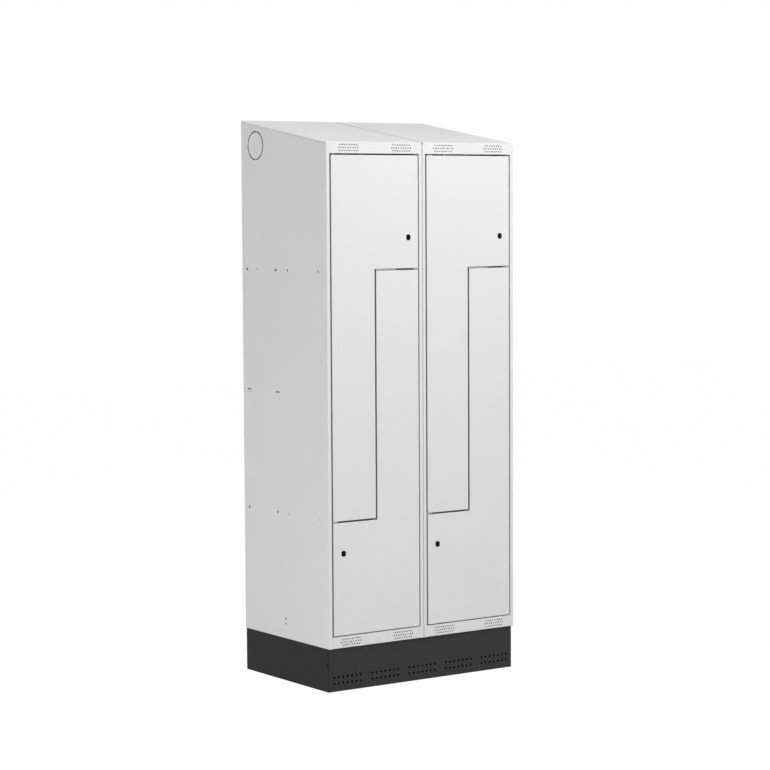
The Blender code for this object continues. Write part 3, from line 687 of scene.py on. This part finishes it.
# %% Roof
def pan(name, low, high, open_side, height=None):
    """A block with one side left out; height(y) lifts it to follow a slope."""
    mesh = opened(name, box(name, low, high), open_side)
    for vert in mesh.vertices:
        vert.co.z += height(vert.co.y) if height else 0.0
    return mesh


ROOF_SEAM = 0.0006
TURNS_TO_SEAM = 0.25


def outer_rim(normal, centre):
    """Faces of the rounded folds at the two outer edges."""
    return abs(centre.x) > MODULE - 2 * OUTER_FOLD and 0.2 < abs(normal.x) < 0.98


for label, middle in MODULES.items():
    name = label + "_roof_panel"
    left = -HALF + (ROOF_SEAM if label == "right" else 0)
    right = HALF - (ROOF_SEAM if label == "left" else 0)
    mesh = pan(name, (left, 0, -ROOF_EDGE), (right, DEPTH, 0), (0, 0, -1), roof_at)
    mesh = folded(name, mesh, radius=OUTER_FOLD, segments=6)
    roof = sheet_piece(name, mesh, middle, FRONT)
    # painted shade: the folds at the seam of the two roofs get the dark grey
    second_finish(roof, thin_coat, at_seam(TURNS_TO_SEAM))
    # painted highlight: the outer folds of the roof get the lighter grey
    second_finish(roof, full_coat, outer_rim)
print("roof top at", round(max(v.co.z for v in roof.data.vertices), 4))

# %% Rails with vents
RAIL_END = HALF - STILE + FOLD - HAIRLINE
RAIL_RETURN = 0.022
RAIL_FOOT = 0.015
FIELD_FROM_MIDDLE = 0.110
TAB_LEFT, TAB_RIGHT = -0.124, -0.120
TAB_FRONT, TAB_REAR, TAB_ROOT = 0.004, 0.009, 0.002


def vented_rail(name, line, outward, height, middle):
    """A rail swept along the width, with two fields of vents at a height."""
    profile = [(-RAIL_END, y, z) for y, z in line]
    mesh = swept(name, profile, lambda p: Vector((RAIL_END, p.y, p.z)), outward)
    mesh = folded(name, mesh, radius=0)
    fields = [moved(vents.copy(), x, 0, height) for x in (-FIELD_FROM_MIDDLE, FIELD_FROM_MIDDLE)]
    mesh = punched(name, mesh, joined("fields", fields))
    return sheet_piece(name, mesh, middle, FRONT, "_vented")


def underside(normal, centre):
    """Faces of the top rail that look down on the doors."""
    return normal.z < -0.8 and centre.z < rail_bottom + 0.001


for label, middle in MODULES.items():
    name = label + "_top_rail"
    line = rounded([(0, FRONT_TOP - ROOF_EDGE - HAIRLINE), (0, rail_bottom),
                    (RAIL_RETURN, rail_bottom)], [CRISP_FOLD])
    rail = vented_rail(name, line, (0, -1, 0), (FRONT_TOP + rail_bottom) / 2, middle)
    # painted shade: the underside of the top rail, over the gap above the doors, gets the dark grey
    second_finish(rail, thin_coat, underside)
    tab = box("tab", (TAB_LEFT, TAB_FRONT, rail_bottom - TAB_DROP),
              (TAB_RIGHT, TAB_REAR, rail_bottom + TAB_ROOT))
    put(name + "_tab", moved(tab, middle, FRONT), coat, "cabinet")
    line = rounded([(RAIL_FOOT, PLINTH_TOP), (0, PLINTH_TOP), (0, rail_top),
                    (RAIL_RETURN, rail_top)], [FOLD, CRISP_FOLD])
    name = label + "_bottom_rail"
    rail = vented_rail(name, line, (0, 0, -1), (PLINTH_TOP + rail_top) / 2, middle)
print("bottom rail:", len(rail.data.polygons), "faces")

# %% [markdown]
# ## Inside: floor, back, divider and shelves
#
# The divider stands in the middle between the two steps, and one half shelf starts at each of its
# ends. Together they are the Z. They are seen only with the doors open, but then they fill the
# view, so they are folded with the same care.

# %% Floor and back
BURR = 0.0002
for label in MODULES:
    name = label + "_floor_panel"
    sheet_piece(name, folded(name, pan(name, *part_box(name), (0, 0, 1))))
    name = label + "_back_panel"
    plate = baked(name, box(name, *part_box(name)), [bevel(BURR, 1)])
    put(name + "_plate", plate, coat, "cabinet", [name])
print("back plate:", len(plate.polygons), "faces")

# %% Divider and shelves
SHELF_FRONT = 0.0198
TONGUE_LEFT, TONGUE_RIGHT = 0.0025, 0.088
TONGUE_FRONT, TONGUE_REAR = 0.0025, 0.0238
TONGUE_HALF, TONGUE_EDGE = 0.001, 0.0003
for label, middle in MODULES.items():
    name = label + "_divider"
    low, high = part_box(name)
    plan = [(high.x, low.y), (low.x, low.y), (low.x, high.y), (high.x, high.y)]
    profile = [(x, y, low.z) for x, y in plan]
    mesh = swept(name, profile, lambda p: Vector((p.x, p.y, high.z)), (0, -1, 0))
    sheet_piece(name, folded(name, mesh))
    for which, turn in (("upper", 1), ("lower", -1)):
        name = f"{label}_{which}_shelf"
        low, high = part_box(name)
        step = upper_step if turn > 0 else lower_step
        face = step - turn * SHEET / 2
        tip = high.z if turn > 0 else low.z
        profile = [(low.x, FRONT + SHELF_FRONT, face), (low.x, high.y, face),
                   (low.x, high.y, tip)]
        mesh = swept(name, profile, lambda p: Vector((high.x, p.y, p.z)), (0, 0, -turn))
        sheet_piece(name, folded(name, mesh))
    tongue = box("tongue", (TONGUE_LEFT, TONGUE_FRONT, upper_step - TONGUE_HALF),
                 (TONGUE_RIGHT, TONGUE_REAR, upper_step + TONGUE_HALF))
    tongue = baked("tongue", moved(tongue, middle, FRONT), [bevel(TONGUE_EDGE, 2)])
    put(label + "_upper_shelf_tongue", tongue, coat, "cabinet")
print("a tongue has", len(tongue.polygons), "faces")

# %% [markdown]
# ## Doors
#
# Each door is an L-shaped pan: a face with all its edges folded back. The small fold radius draws
# a fine light line round the face. The upper door is drawn once. The lower one is the same pan
# turned half round, which is how the maker would cut them both from one blank. The folded edges
# are painted a dark grey, painted shade that makes the gaps between the doors look as dark as on
# the real object.
# Outlines are drawn flat, pushed back to a slab, and opened at the rear before the folds are made.


# %% The door pan
MIDDLE_GAP = 0.0064
EASE = 0.0005
DOOR_EDGE = 0.0013


def door_pan(name, low, high, hand):
    """An L between two corners. Its leg is down on the left for hand -1, up on the right for 1."""
    leg = (low.x + high.x) / 2 + hand * MIDDLE_GAP / 2
    corner = (upper_step if hand < 0 else lower_step) - hand * (step_gap / 2 + EASE)
    tip, far = (low, high) if hand < 0 else (high, low)
    outline = [(tip.x, tip.z), (leg, tip.z), (leg, corner), (far.x, corner), (far.x, far.z),
               (tip.x, far.z)]
    return opened(name, slab(name, outline, low.y, high.y), (0, 1, 0))


def double_d(width, height):
    """A circle with its sides cut flat, the usual shape of a lock hole."""
    flat = math.degrees(math.acos(width / height))
    upper = arc(0, 0, height / 2, flat, 180 - flat, 12)
    return upper + arc(0, 0, height / 2, 180 + flat, 360 - flat, 12)


def folded_edge(normal, centre):
    """Faces of a door that don't look forward or back."""
    return abs(normal.y) < 0.2


# %% Four doors
LOCK_HOLE = (0.0161, 0.0196)
PIN_FROM_EDGE = 0.014
PIN_BEHIND_FACE = 0.008
PIN_HOLE = 0.0026
THROUGH = 0.005
for compartment in COMPARTMENTS:
    hand = -1 if compartment.endswith("upper") else 1
    name = compartment + "_door"
    low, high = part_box(name)
    high.z -= EASE
    low.z += EASE if hand < 0 else 0
    lock_low, lock_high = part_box(compartment + "_lock_housing")
    lock = (lock_low + lock_high) / 2
    mesh = folded(name, door_pan(name, low, high, hand), radius=DOOR_EDGE)
    hole = slab("hole", double_d(*LOCK_HOLE), -THROUGH, THROUGH)
    tools = [moved(hole, lock.x, low.y, lock.z)]
    axis = (low.x + PIN_FROM_EDGE) if hand < 0 else (high.x - PIN_FROM_EDGE)
    for end in (low.z, high.z):
        pin_hole = drill(PIN_HOLE, THROUGH, 24)
        tools.append(moved(pin_hole, axis, low.y + PIN_BEHIND_FACE, end))
    mesh = punched(name, mesh, *tools)
    door = put(name + "_pan", smoothed(name, mesh), coat, name, [name])
    # painted shade: the folded edges of the door get the dark grey
    second_finish(door, thin_coat, folded_edge)
print("a door has", len(door.data.polygons), "faces")

# %% [markdown]
# ## Hinges
#
# Each door turns on two short pins. One stands on a rail, and the other on a small plate that
# reaches from the stile into the step between the two doors. The pins are rounded at the tip. The
# plates are thin and plain, so the frame's own solids stay, and only get the coat.

# %% Pins and plates
PIN = 0.0025
PIN_TIP = 0.0018
PIN_CHAMFER = 0.0007
for compartment in COMPARTMENTS:
    for end in ("top", "bottom"):
        name = f"{compartment}_door_{end}_pin"
        low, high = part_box(name)
        centre = (low + high) / 2
        half = (high.z - low.z) / 2
        profile = [(0, -half), (PIN_TIP, -half), (PIN, -half + PIN_CHAMFER),
                   (PIN, half - PIN_CHAMFER), (PIN_TIP, half), (0, half)]
        pin = moved(turned(name, profile, 24), *centre)
        put(name + "_turned", smoothed(name, pin), zinc, "cabinet", [name])
    name = compartment + "_door_hinge_lug"
    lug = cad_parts[name]
    lug.data.materials.clear()
    lug.data.materials.append(coat)
print("a pin is", round(2 * half, 4), "long")

# %% [markdown]
# ## Cam locks
#
# A cam lock is a small casting in a hole with two flats, which keep it from turning. A nut holds
# it from behind. The barrel turns in it, with a cam screwed to its rear end. From the front one
# sees a black face, the ring of the barrel, and the keyway with a light steel leaf inside it.


# %% Shapes for the locks
CHAMFER = 0.0003
CAM_HUB, CAM_TIP, CAM_LENGTH = 0.008, 0.005, 0.0445


def hexagon(across):
    """A hexagon with a distance between its flats, one point up."""
    return arc(0, 0, across / math.sqrt(3), 30, 330, 5)


def soft_edges(name, mesh, width=CHAMFER):
    """The mesh with its sharp edges broken."""
    return smoothed(name, baked(name, mesh, [bevel(width, 2, 40)]), 40)


def cam_outline():
    """A round hub and a narrower round tip below it, joined by straight sides."""
    lean = math.degrees(math.asin((CAM_HUB - CAM_TIP) / (CAM_LENGTH - CAM_TIP)))
    hub = arc(0, 0, CAM_HUB, -lean, 180 + lean, 16)
    return hub + arc(0, CAM_TIP - CAM_LENGTH, CAM_TIP, 180 + lean, 360 - lean, 12)


# %% Housing, barrel, cam and nut
LOCK_FACE, LOCK_BODY = (0.0180, 0.0210), (0.0155, 0.0190)
NUT_HOLE = (0.0157, 0.0192)
NUT_ACROSS, NUT_BEHIND, NUT_THICK = 0.024, 0.0035, 0.003
BEZEL = 0.0008
BORE, BORE_REACH, BARREL = 0.0056, 0.03, 0.0055
KEYWAY, KEYWAY_DEEP = (0.0008, 0.0038), 0.004
LEAF, LEAF_FROM, LEAF_TO = (0.0007, 0.0036), 0.0024, 0.0034
HEAD_ACROSS, HEAD_FROM, HEAD_TO, HEAD_CHAMFER = 0.010, 0.0001, 0.0036, 0.0004
for compartment in COMPARTMENTS:
    stem, door = compartment + "_lock", compartment + "_door"
    low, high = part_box(stem + "_housing")
    x, z, front = (low.x + high.x) / 2, (low.z + high.z) / 2, low.y
    bore = drill(BORE, BORE_REACH, 40)
    bore.transform(Matrix.Rotation(math.pi / 2, 4, "X"))
    face = slab("face", double_d(*LOCK_FACE), 0, BEZEL)
    face = soft_edges("face", punched("face", face, bore.copy()))
    shank = slab("shank", double_d(*LOCK_BODY), BEZEL / 2, high.y - low.y)
    shank = soft_edges("shank", punched("shank", shank, bore))
    put(stem + "_face", moved(face, x, front, z), lock_black, door)
    put(stem + "_shank", moved(shank, x, front, z), lock_black, door, [stem + "_housing"])
    nut = slab("nut", hexagon(NUT_ACROSS), 0.0, NUT_THICK)
    core = slab("core", double_d(*NUT_HOLE), -0.01, 0.01)
    nut = soft_edges("nut", punched("nut", nut, core))
    put(stem + "_nut", moved(nut, x, front + NUT_BEHIND, z), zinc, door)
    low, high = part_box(stem + "_barrel")
    length = high.y - low.y
    profile = [(0, 0), (BARREL - CHAMFER, 0), (BARREL, CHAMFER), (BARREL, length - CHAMFER),
               (BARREL - CHAMFER, length), (0, length)]
    barrel = turned("barrel", profile, 40)
    barrel.transform(Matrix.Rotation(-math.pi / 2, 4, "X"))
    width, height = KEYWAY
    keyway = box("keyway", (-width, -KEYWAY_DEEP, -height), (width, KEYWAY_DEEP, height))
    barrel = smoothed("barrel", punched("barrel", barrel, keyway))
    barrel = moved(barrel, x, front, z)
    put(stem + "_barrel_turned", barrel, lock_black, stem, [stem + "_barrel"])
    width, height = LEAF
    leaf = box("leaf", (-width, LEAF_FROM, -height), (width, LEAF_TO, height))
    put(stem + "_keyway_leaf", moved(leaf, x, front, z), zinc, stem)
    low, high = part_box(stem + "_cam")
    cam = soft_edges("cam", slab("cam", cam_outline(), low.y, high.y))
    put(stem + "_cam_plate", moved(cam, x, 0, z), zinc, stem, [stem + "_cam"])
    bolt = slab("bolt", hexagon(HEAD_ACROSS), high.y + HEAD_FROM, high.y + HEAD_TO)
    bolt = soft_edges("bolt", bolt, HEAD_CHAMFER)
    put(stem + "_cam_bolt", moved(bolt, x, 0, z), zinc, stem)
print("a barrel is", round(length, 4), "long")

# %% [markdown]
# ## Coat hooks, rivets, buffers and joining bolts
#
# Small repeated things are placed by another node tree: it puts a copy of one finished head on
# each vertex of a mesh, makes the copies real and gives them a finish. The vertices are the plan:
# where a fitter would put a rivet, a rubber buffer or a bolt. A head is a line of points, spun
# round. A hook is a rod along a bent path, which a curve with a round section draws best.

# %% A tree that places heads
head_tree = bpy.data.node_groups.new("heads on spots", "GeometryNodeTree")
head_ids, given, start = tree_inputs(head_tree, [
    ("Geometry", "Geometry"), ("Head", "Object"), ("Turn", "Vector"), ("Size", "Float"),
    ("Material", "Material")])
head = start.node("GeometryNodeObjectInfo", {"Object": given["Head"]}, output="Geometry")
copies = start.node("GeometryNodeInstanceOnPoints", {
    "Points": given["Geometry"], "Instance": head, "Rotation": given["Turn"],
    "Scale": given["Size"]})
made_real(start, copies, given["Material"])


def heads(name, profile, spots, turn, finish):
    """Copies of one turned head on a list of spots, as one piece of the cabinet."""
    head = linked("head", turned("head", profile, ROUND))
    plan = bpy.data.meshes.new(name)
    plan.from_pydata(spots, [], [])
    values = {"Head": head, "Turn": turn, "Size": 1.0, "Material": finish}
    mesh = run_tree(name, head_tree, head_ids, values, plan)
    bpy.data.objects.remove(head)
    return put(name, smoothed(name, mesh, 50), finish, "cabinet")


RIVET = [(0, 0), (0.0032, 0), (0.0030, 0.0005), (0.0022, 0.0010), (0.0012, 0.0013),
         (0.0010, 0.0008), (0, 0.0008)]
BUFFER = [(0, 0), (0.0030, 0), (0.0028, 0.0006), (0.0020, 0.0008), (0, 0.0008)]
BOLT = [(0, 0), (0.0050, 0), (0.0048, 0.0012), (0.0036, 0.0024), (0.0018, 0.0029),
        (0.0016, 0.0015), (0, 0.0015)]
TO_FRONT = (math.pi / 2, 0, 0)
TO_LEFT = (0, -math.pi / 2, 0)
TO_RIGHT = (0, math.pi / 2, 0)
print("inputs of the heads:", ", ".join(head_ids))


# %% A bent rod
HOOK_REACH, HOOK_RISE, HOOK_BEND, HOOK_ROD = 0.031, 0.014, 0.008, 0.0025


def hook_rod(name, start):
    """A rod that comes forward from the plate and is bent up at its end."""
    path = [(0.0, 0.0), (HOOK_BEND - HOOK_REACH, 0.0)]
    path += arc(HOOK_BEND - HOOK_REACH, HOOK_BEND, HOOK_BEND, -90, -180, 10)[1:]
    path += [(-HOOK_REACH, HOOK_RISE)]
    curve = bpy.data.curves.new(name, "CURVE")
    curve.dimensions = "3D"
    curve.bevel_depth = HOOK_ROD
    curve.bevel_resolution = 4
    curve.use_fill_caps = True
    line = curve.splines.new("POLY")
    line.points.add(len(path) - 1)
    for knot, (y, z) in zip(line.points, path):
        knot.co = (0, y, z, 1)
    bm = bmesh.new()
    bm.from_mesh(plain_mesh(linked(name, curve)))
    return moved(closed(name, bm), *start)


# %% Hooks with their rivets
PLATE, PLATE_HALF, PLATE_EDGE = 0.002, 0.015, 0.0006
RIVET_FROM_ROD = 0.010
for compartment in COMPARTMENTS:
    name = compartment + "_coat_hook"
    low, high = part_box(name)
    x = (low.x + high.x) / 2
    z = low.z + PLATE_HALF
    plate = box("plate", (low.x, high.y - PLATE, low.z), (high.x, high.y, z + PLATE_HALF))
    plate = soft_edges("plate", plate, PLATE_EDGE)
    put(name + "_plate", plate, zinc, "cabinet", [name])
    rod = hook_rod(name, (x, high.y - PLATE / 2, z))
    put(name + "_rod", smoothed(name, rod, 50), zinc, "cabinet")
    spots = [(x, high.y - PLATE, z + up) for up in (-RIVET_FROM_ROD, RIVET_FROM_ROD)]
    heads(name + "_rivets", RIVET, spots, TO_FRONT, zinc)
print("a rod has", len(rod.polygons), "faces")

# %% Buffers on the door stops
BUFFER_FROM_END = 0.040
for label, middle in MODULES.items():
    x = HALF - STILE - STOP_WIDTH / 2
    y = FRONT + STOP_DEPTH
    ends = (upper_step + BUFFER_FROM_END, rail_bottom - BUFFER_FROM_END)
    spots = [(middle + x, y, z) for z in ends]
    heads(label + "_upper_door_buffers", BUFFER, spots, TO_FRONT, rubber)
    ends = (rail_top + BUFFER_FROM_END, lower_step - BUFFER_FROM_END)
    spots = [(middle - x, y, z) for z in ends]
    heads(label + "_lower_door_buffers", BUFFER, spots, TO_FRONT, rubber)
print("buffers beside one door:", len(spots))

# %% Bolts that join the two modules
JOINING_HOLES = row_of_holes(LOW_ROW, REAR, MIDWAY) + PAIRED_HOLES[::2]
inner_wall = SEAM / 2 + SHEET
for side, x, turn in (("left", -inner_wall, TO_LEFT), ("right", inner_wall, TO_RIGHT)):
    spots = [(x, FRONT + y, z) for y, z in JOINING_HOLES]
    heads("joining_bolts_" + side, BOLT, spots, turn, zinc)
print("joining bolts on each side:", len(spots))

# %% [markdown]
# ## Plinth
#
# The plinth is a dark box without top or bottom, set back a little under the cabinet. Its front
# has five fields of round holes low down, which let air under the lockers. The front and the rear
# are channels, and flat plates close the sides. Slots in the plates take the hooks by which they
# hang on the channels.

# %% Front and rear of the plinth
PLINTH_SHEET = 0.0015
HOLE_PITCH, HOLE_ROW_PITCH, HOLE = 0.0185, 0.0215, 0.0041
FIELD_PITCH, FIELD_HEIGHT = 0.159, 0.03875
for node, hand in (("plinth_front", -1), ("plinth_rear", 1)):
    low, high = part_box(node)
    face, inner = (low.y, high.y) if hand < 0 else (high.y, low.y)
    profile = [(low.x, inner, high.z), (low.x, face, high.z), (low.x, face, 0), (low.x, inner, 0)]
    mesh = swept(node, profile, lambda p: Vector((high.x, p.y, p.z)), (0, 0, 1))
    mesh = folded(node, mesh, thickness=PLINTH_SHEET)
    if hand < 0:
        field = punch("field", 7, 2, HOLE_PITCH, HOLE_ROW_PITCH, 0.0, HOLE, sides=24)
        spots = [moved(field.copy(), FIELD_PITCH * k, face, FIELD_HEIGHT) for k in range(-2, 3)]
        mesh = punched(node, mesh, joined("fields", spots))
    put(node + "_folded", smoothed(node, mesh), coat_dark, "cabinet", [node])
print("fields in the front of the plinth:", len(spots))

# %% Sides of the plinth
SLOT_FROM_END = 0.0075
SLOT_HEIGHTS = (0.094, 0.131)
SLOT_HALF = Vector((OVERRUN, 0.003, 0.0045))
for node in ("plinth_left", "plinth_right"):
    low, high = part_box(node)
    slots = []
    for y in (low.y + SLOT_FROM_END, high.y - SLOT_FROM_END):
        for z in SLOT_HEIGHTS:
            near, far = Vector((low.x, y, z)), Vector((high.x, y, z))
            slots.append(box("slot", near - SLOT_HALF, far + SLOT_HALF))
    mesh = punched(node, box(node, low, high), joined("slots", slots))
    # painted shade: the sides of the plinth get the darker copy of the charcoal
    put(node + "_plate", soft_edges(node, mesh), coat_dark_side, "cabinet", [node])
print("slots in a side of the plinth:", len(slots))

# %% [markdown]
# ## Stage, light and camera
#
# The photograph shows the locker on white, with almost no shadow. The floor and the world look
# white to the camera and to reflections, and give only plain soft light. One large lamp in front
# makes the doors bright above and darker below, and a nearer one helps it on the right. Two lamps
# on the left, a low one and a high one, keep the side even from foot to roof. A weak one overhead
# reaches the roof, and one low behind lights the rear. Each lamp's power was found by rendering it
# alone and adding up the lamps until the faces had the greys of the photograph.


# %% Floor
FLOOR_REACH = 12.0
FLOOR_WHITE = 0.92
FLOOR_GLOW = 1.06


def outside_plinth(start, place):
    """1 outside the walls of the plinth and 0 inside, from Object coordinates."""
    front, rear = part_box("plinth_front")[0].y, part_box("plinth_rear")[1].y
    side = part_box("plinth_right")[1].x
    x = start.node("ShaderNodeSeparateXYZ", {0: place})
    y = x.other("Y") - (front + rear) / 2
    outside = start.math("MAXIMUM", start.math("ABSOLUTE", x) - side,
                         start.math("ABSOLUTE", y) - (rear - front) / 2)
    return start.math("GREATER_THAN", outside, -SHEET)


def seen_rays(start):
    """1 for camera rays, for reflections and through glass, and 0 for the rest."""
    camera = start.node("ShaderNodeLightPath", output="Is Camera Ray")
    seen = start.math("MAXIMUM", camera, camera.other("Is Glossy Ray"))
    return start.math("MAXIMUM", seen, camera.other("Is Transmission Ray"))


def pale_floor():
    """A floor that the camera sees as white, with a faint shadow, and painted dark inside the
    plinth as painted shade.
    """
    mesh = bpy.data.meshes.new("floor")
    signs = ((-1, -1), (1, -1), (1, 1), (-1, 1))
    corners = [(x * FLOOR_REACH, y * FLOOR_REACH, 0) for x, y in signs]
    mesh.from_pydata(corners, [], [(0, 1, 2, 3)])
    floor = linked("floor", mesh)
    material = bpy.data.materials.new("pale_floor")
    material.use_nodes = True
    tree = material.node_tree
    start = Wire(tree)
    shader = tree.nodes["Principled BSDF"]
    shader.inputs["Roughness"].default_value = 0.9
    outside = outside_plinth(start, start.node("ShaderNodeTexCoord", output="Object"))
    # painted shade: the floor inside the walls of the plinth gets a near-black colour
    tree.links.new(outside.mix(grey(0.02), grey(0.90)).socket, shader.inputs["Base Color"])
    white = start.node("ShaderNodeEmission", {"Color": grey(1.0), "Strength": FLOOR_GLOW})
    diffuse = Wire(tree, shader.outputs[0])
    share = seen_rays(start) * outside * FLOOR_WHITE
    shown = start.node("ShaderNodeMixShader", {0: share, 1: diffuse, 2: white})
    tree.links.new(shown.socket, tree.nodes["Material Output"].inputs["Surface"])
    mesh.materials.append(material)
    return floor


print("floor:", pale_floor().dimensions.x, "m wide")

# %% World
WORLD_LEVEL = 0.2


def studio_world(level):
    """White to the camera, in reflections and through glass, and a softer light for the rest."""
    world = bpy.data.worlds.new("studio")
    bpy.context.scene.world = world
    world.use_nodes = True
    tree = world.node_tree
    strength = seen_rays(Wire(tree)) * (1.0 - level) + level
    background = tree.nodes["Background"]
    tree.links.new(strength.socket, background.inputs["Strength"])
    background.inputs["Color"].default_value = grey(1.0)


studio_world(WORLD_LEVEL)
print("world at", WORLD_LEVEL)


# %% Lamps
def lamp(name, place, target, size, power):
    """A rectangular lamp at a place, aimed at a target."""
    data = bpy.data.lights.new(name, "AREA")
    data.shape = "RECTANGLE"
    data.size, data.size_y = size
    data.energy = power
    piece = linked(name, data)
    piece.location = place
    piece.rotation_euler = (Vector(target) - Vector(place)).to_track_quat("-Z", "Y").to_euler()


LAMPS = {  # name: place, target, size, power
    "front": ((0.0, -3.475, 3.2), (0.0, -0.27, 1.4), (1.6, 1.6), 73),
    "near_right": ((1.0, -2.007, 2.8), (0.1, -0.27, 1.6), (1.2, 1.2), 13.6),
    "low_left": ((-2.989, -0.536, 0.5), (-0.4, 0.0, 0.7), (1.6, 1.0), 15.6),
    "high_left": ((-3.6, 0.2, 4.8), (-0.3, 0.0, 1.4), (1.6, 1.2), 54),
    "overhead": ((0.0, -0.6, 4.6), (0.0, 0.0, 1.9), (2.0, 2.0), 3.8),
    "back": ((2.4, 3.2, 1.1), (0.1, 0.2, 1.0), (1.6, 1.2), 35),
}
for name, values in LAMPS.items():
    lamp(name, *values)
print("lamps:", ", ".join(LAMPS))

# %% [markdown]
# ## Camera
#
# The camera stands where a fit of the picture's straight edges puts it. The fit gives its place,
# three angles and the focal length in pixels of a square picture, which the sensor's width turns
# into millimetres.

# %% Camera
PLACE = (-4.93445, -7.11339, 1.68418)
YAW, PITCH, ROLL = math.radians(34.906), math.radians(4.3305), math.radians(-0.2976)
FOCAL_PIXELS, PICTURE_PIXELS = 2415.83, 770
SENSOR = 36.0
turn = Matrix.Rotation(-YAW, 4, "Z") @ Matrix.Rotation(math.pi / 2 - PITCH, 4, "X")
camera_data = bpy.data.cameras.new("camera")
camera_data.sensor_width = SENSOR
camera_data.sensor_fit = "HORIZONTAL"
camera_data.lens = SENSOR * FOCAL_PIXELS / PICTURE_PIXELS
camera_data.clip_start = 0.1
camera_data.clip_end = 60.0
camera = linked("camera", camera_data)
camera.matrix_world = Matrix.Translation(PLACE) @ turn @ Matrix.Rotation(ROLL, 4, "Z")
bpy.context.scene.camera = camera
bpy.context.scene.view_settings.view_transform = "Standard"
print("lens:", round(camera_data.lens, 1), "mm")
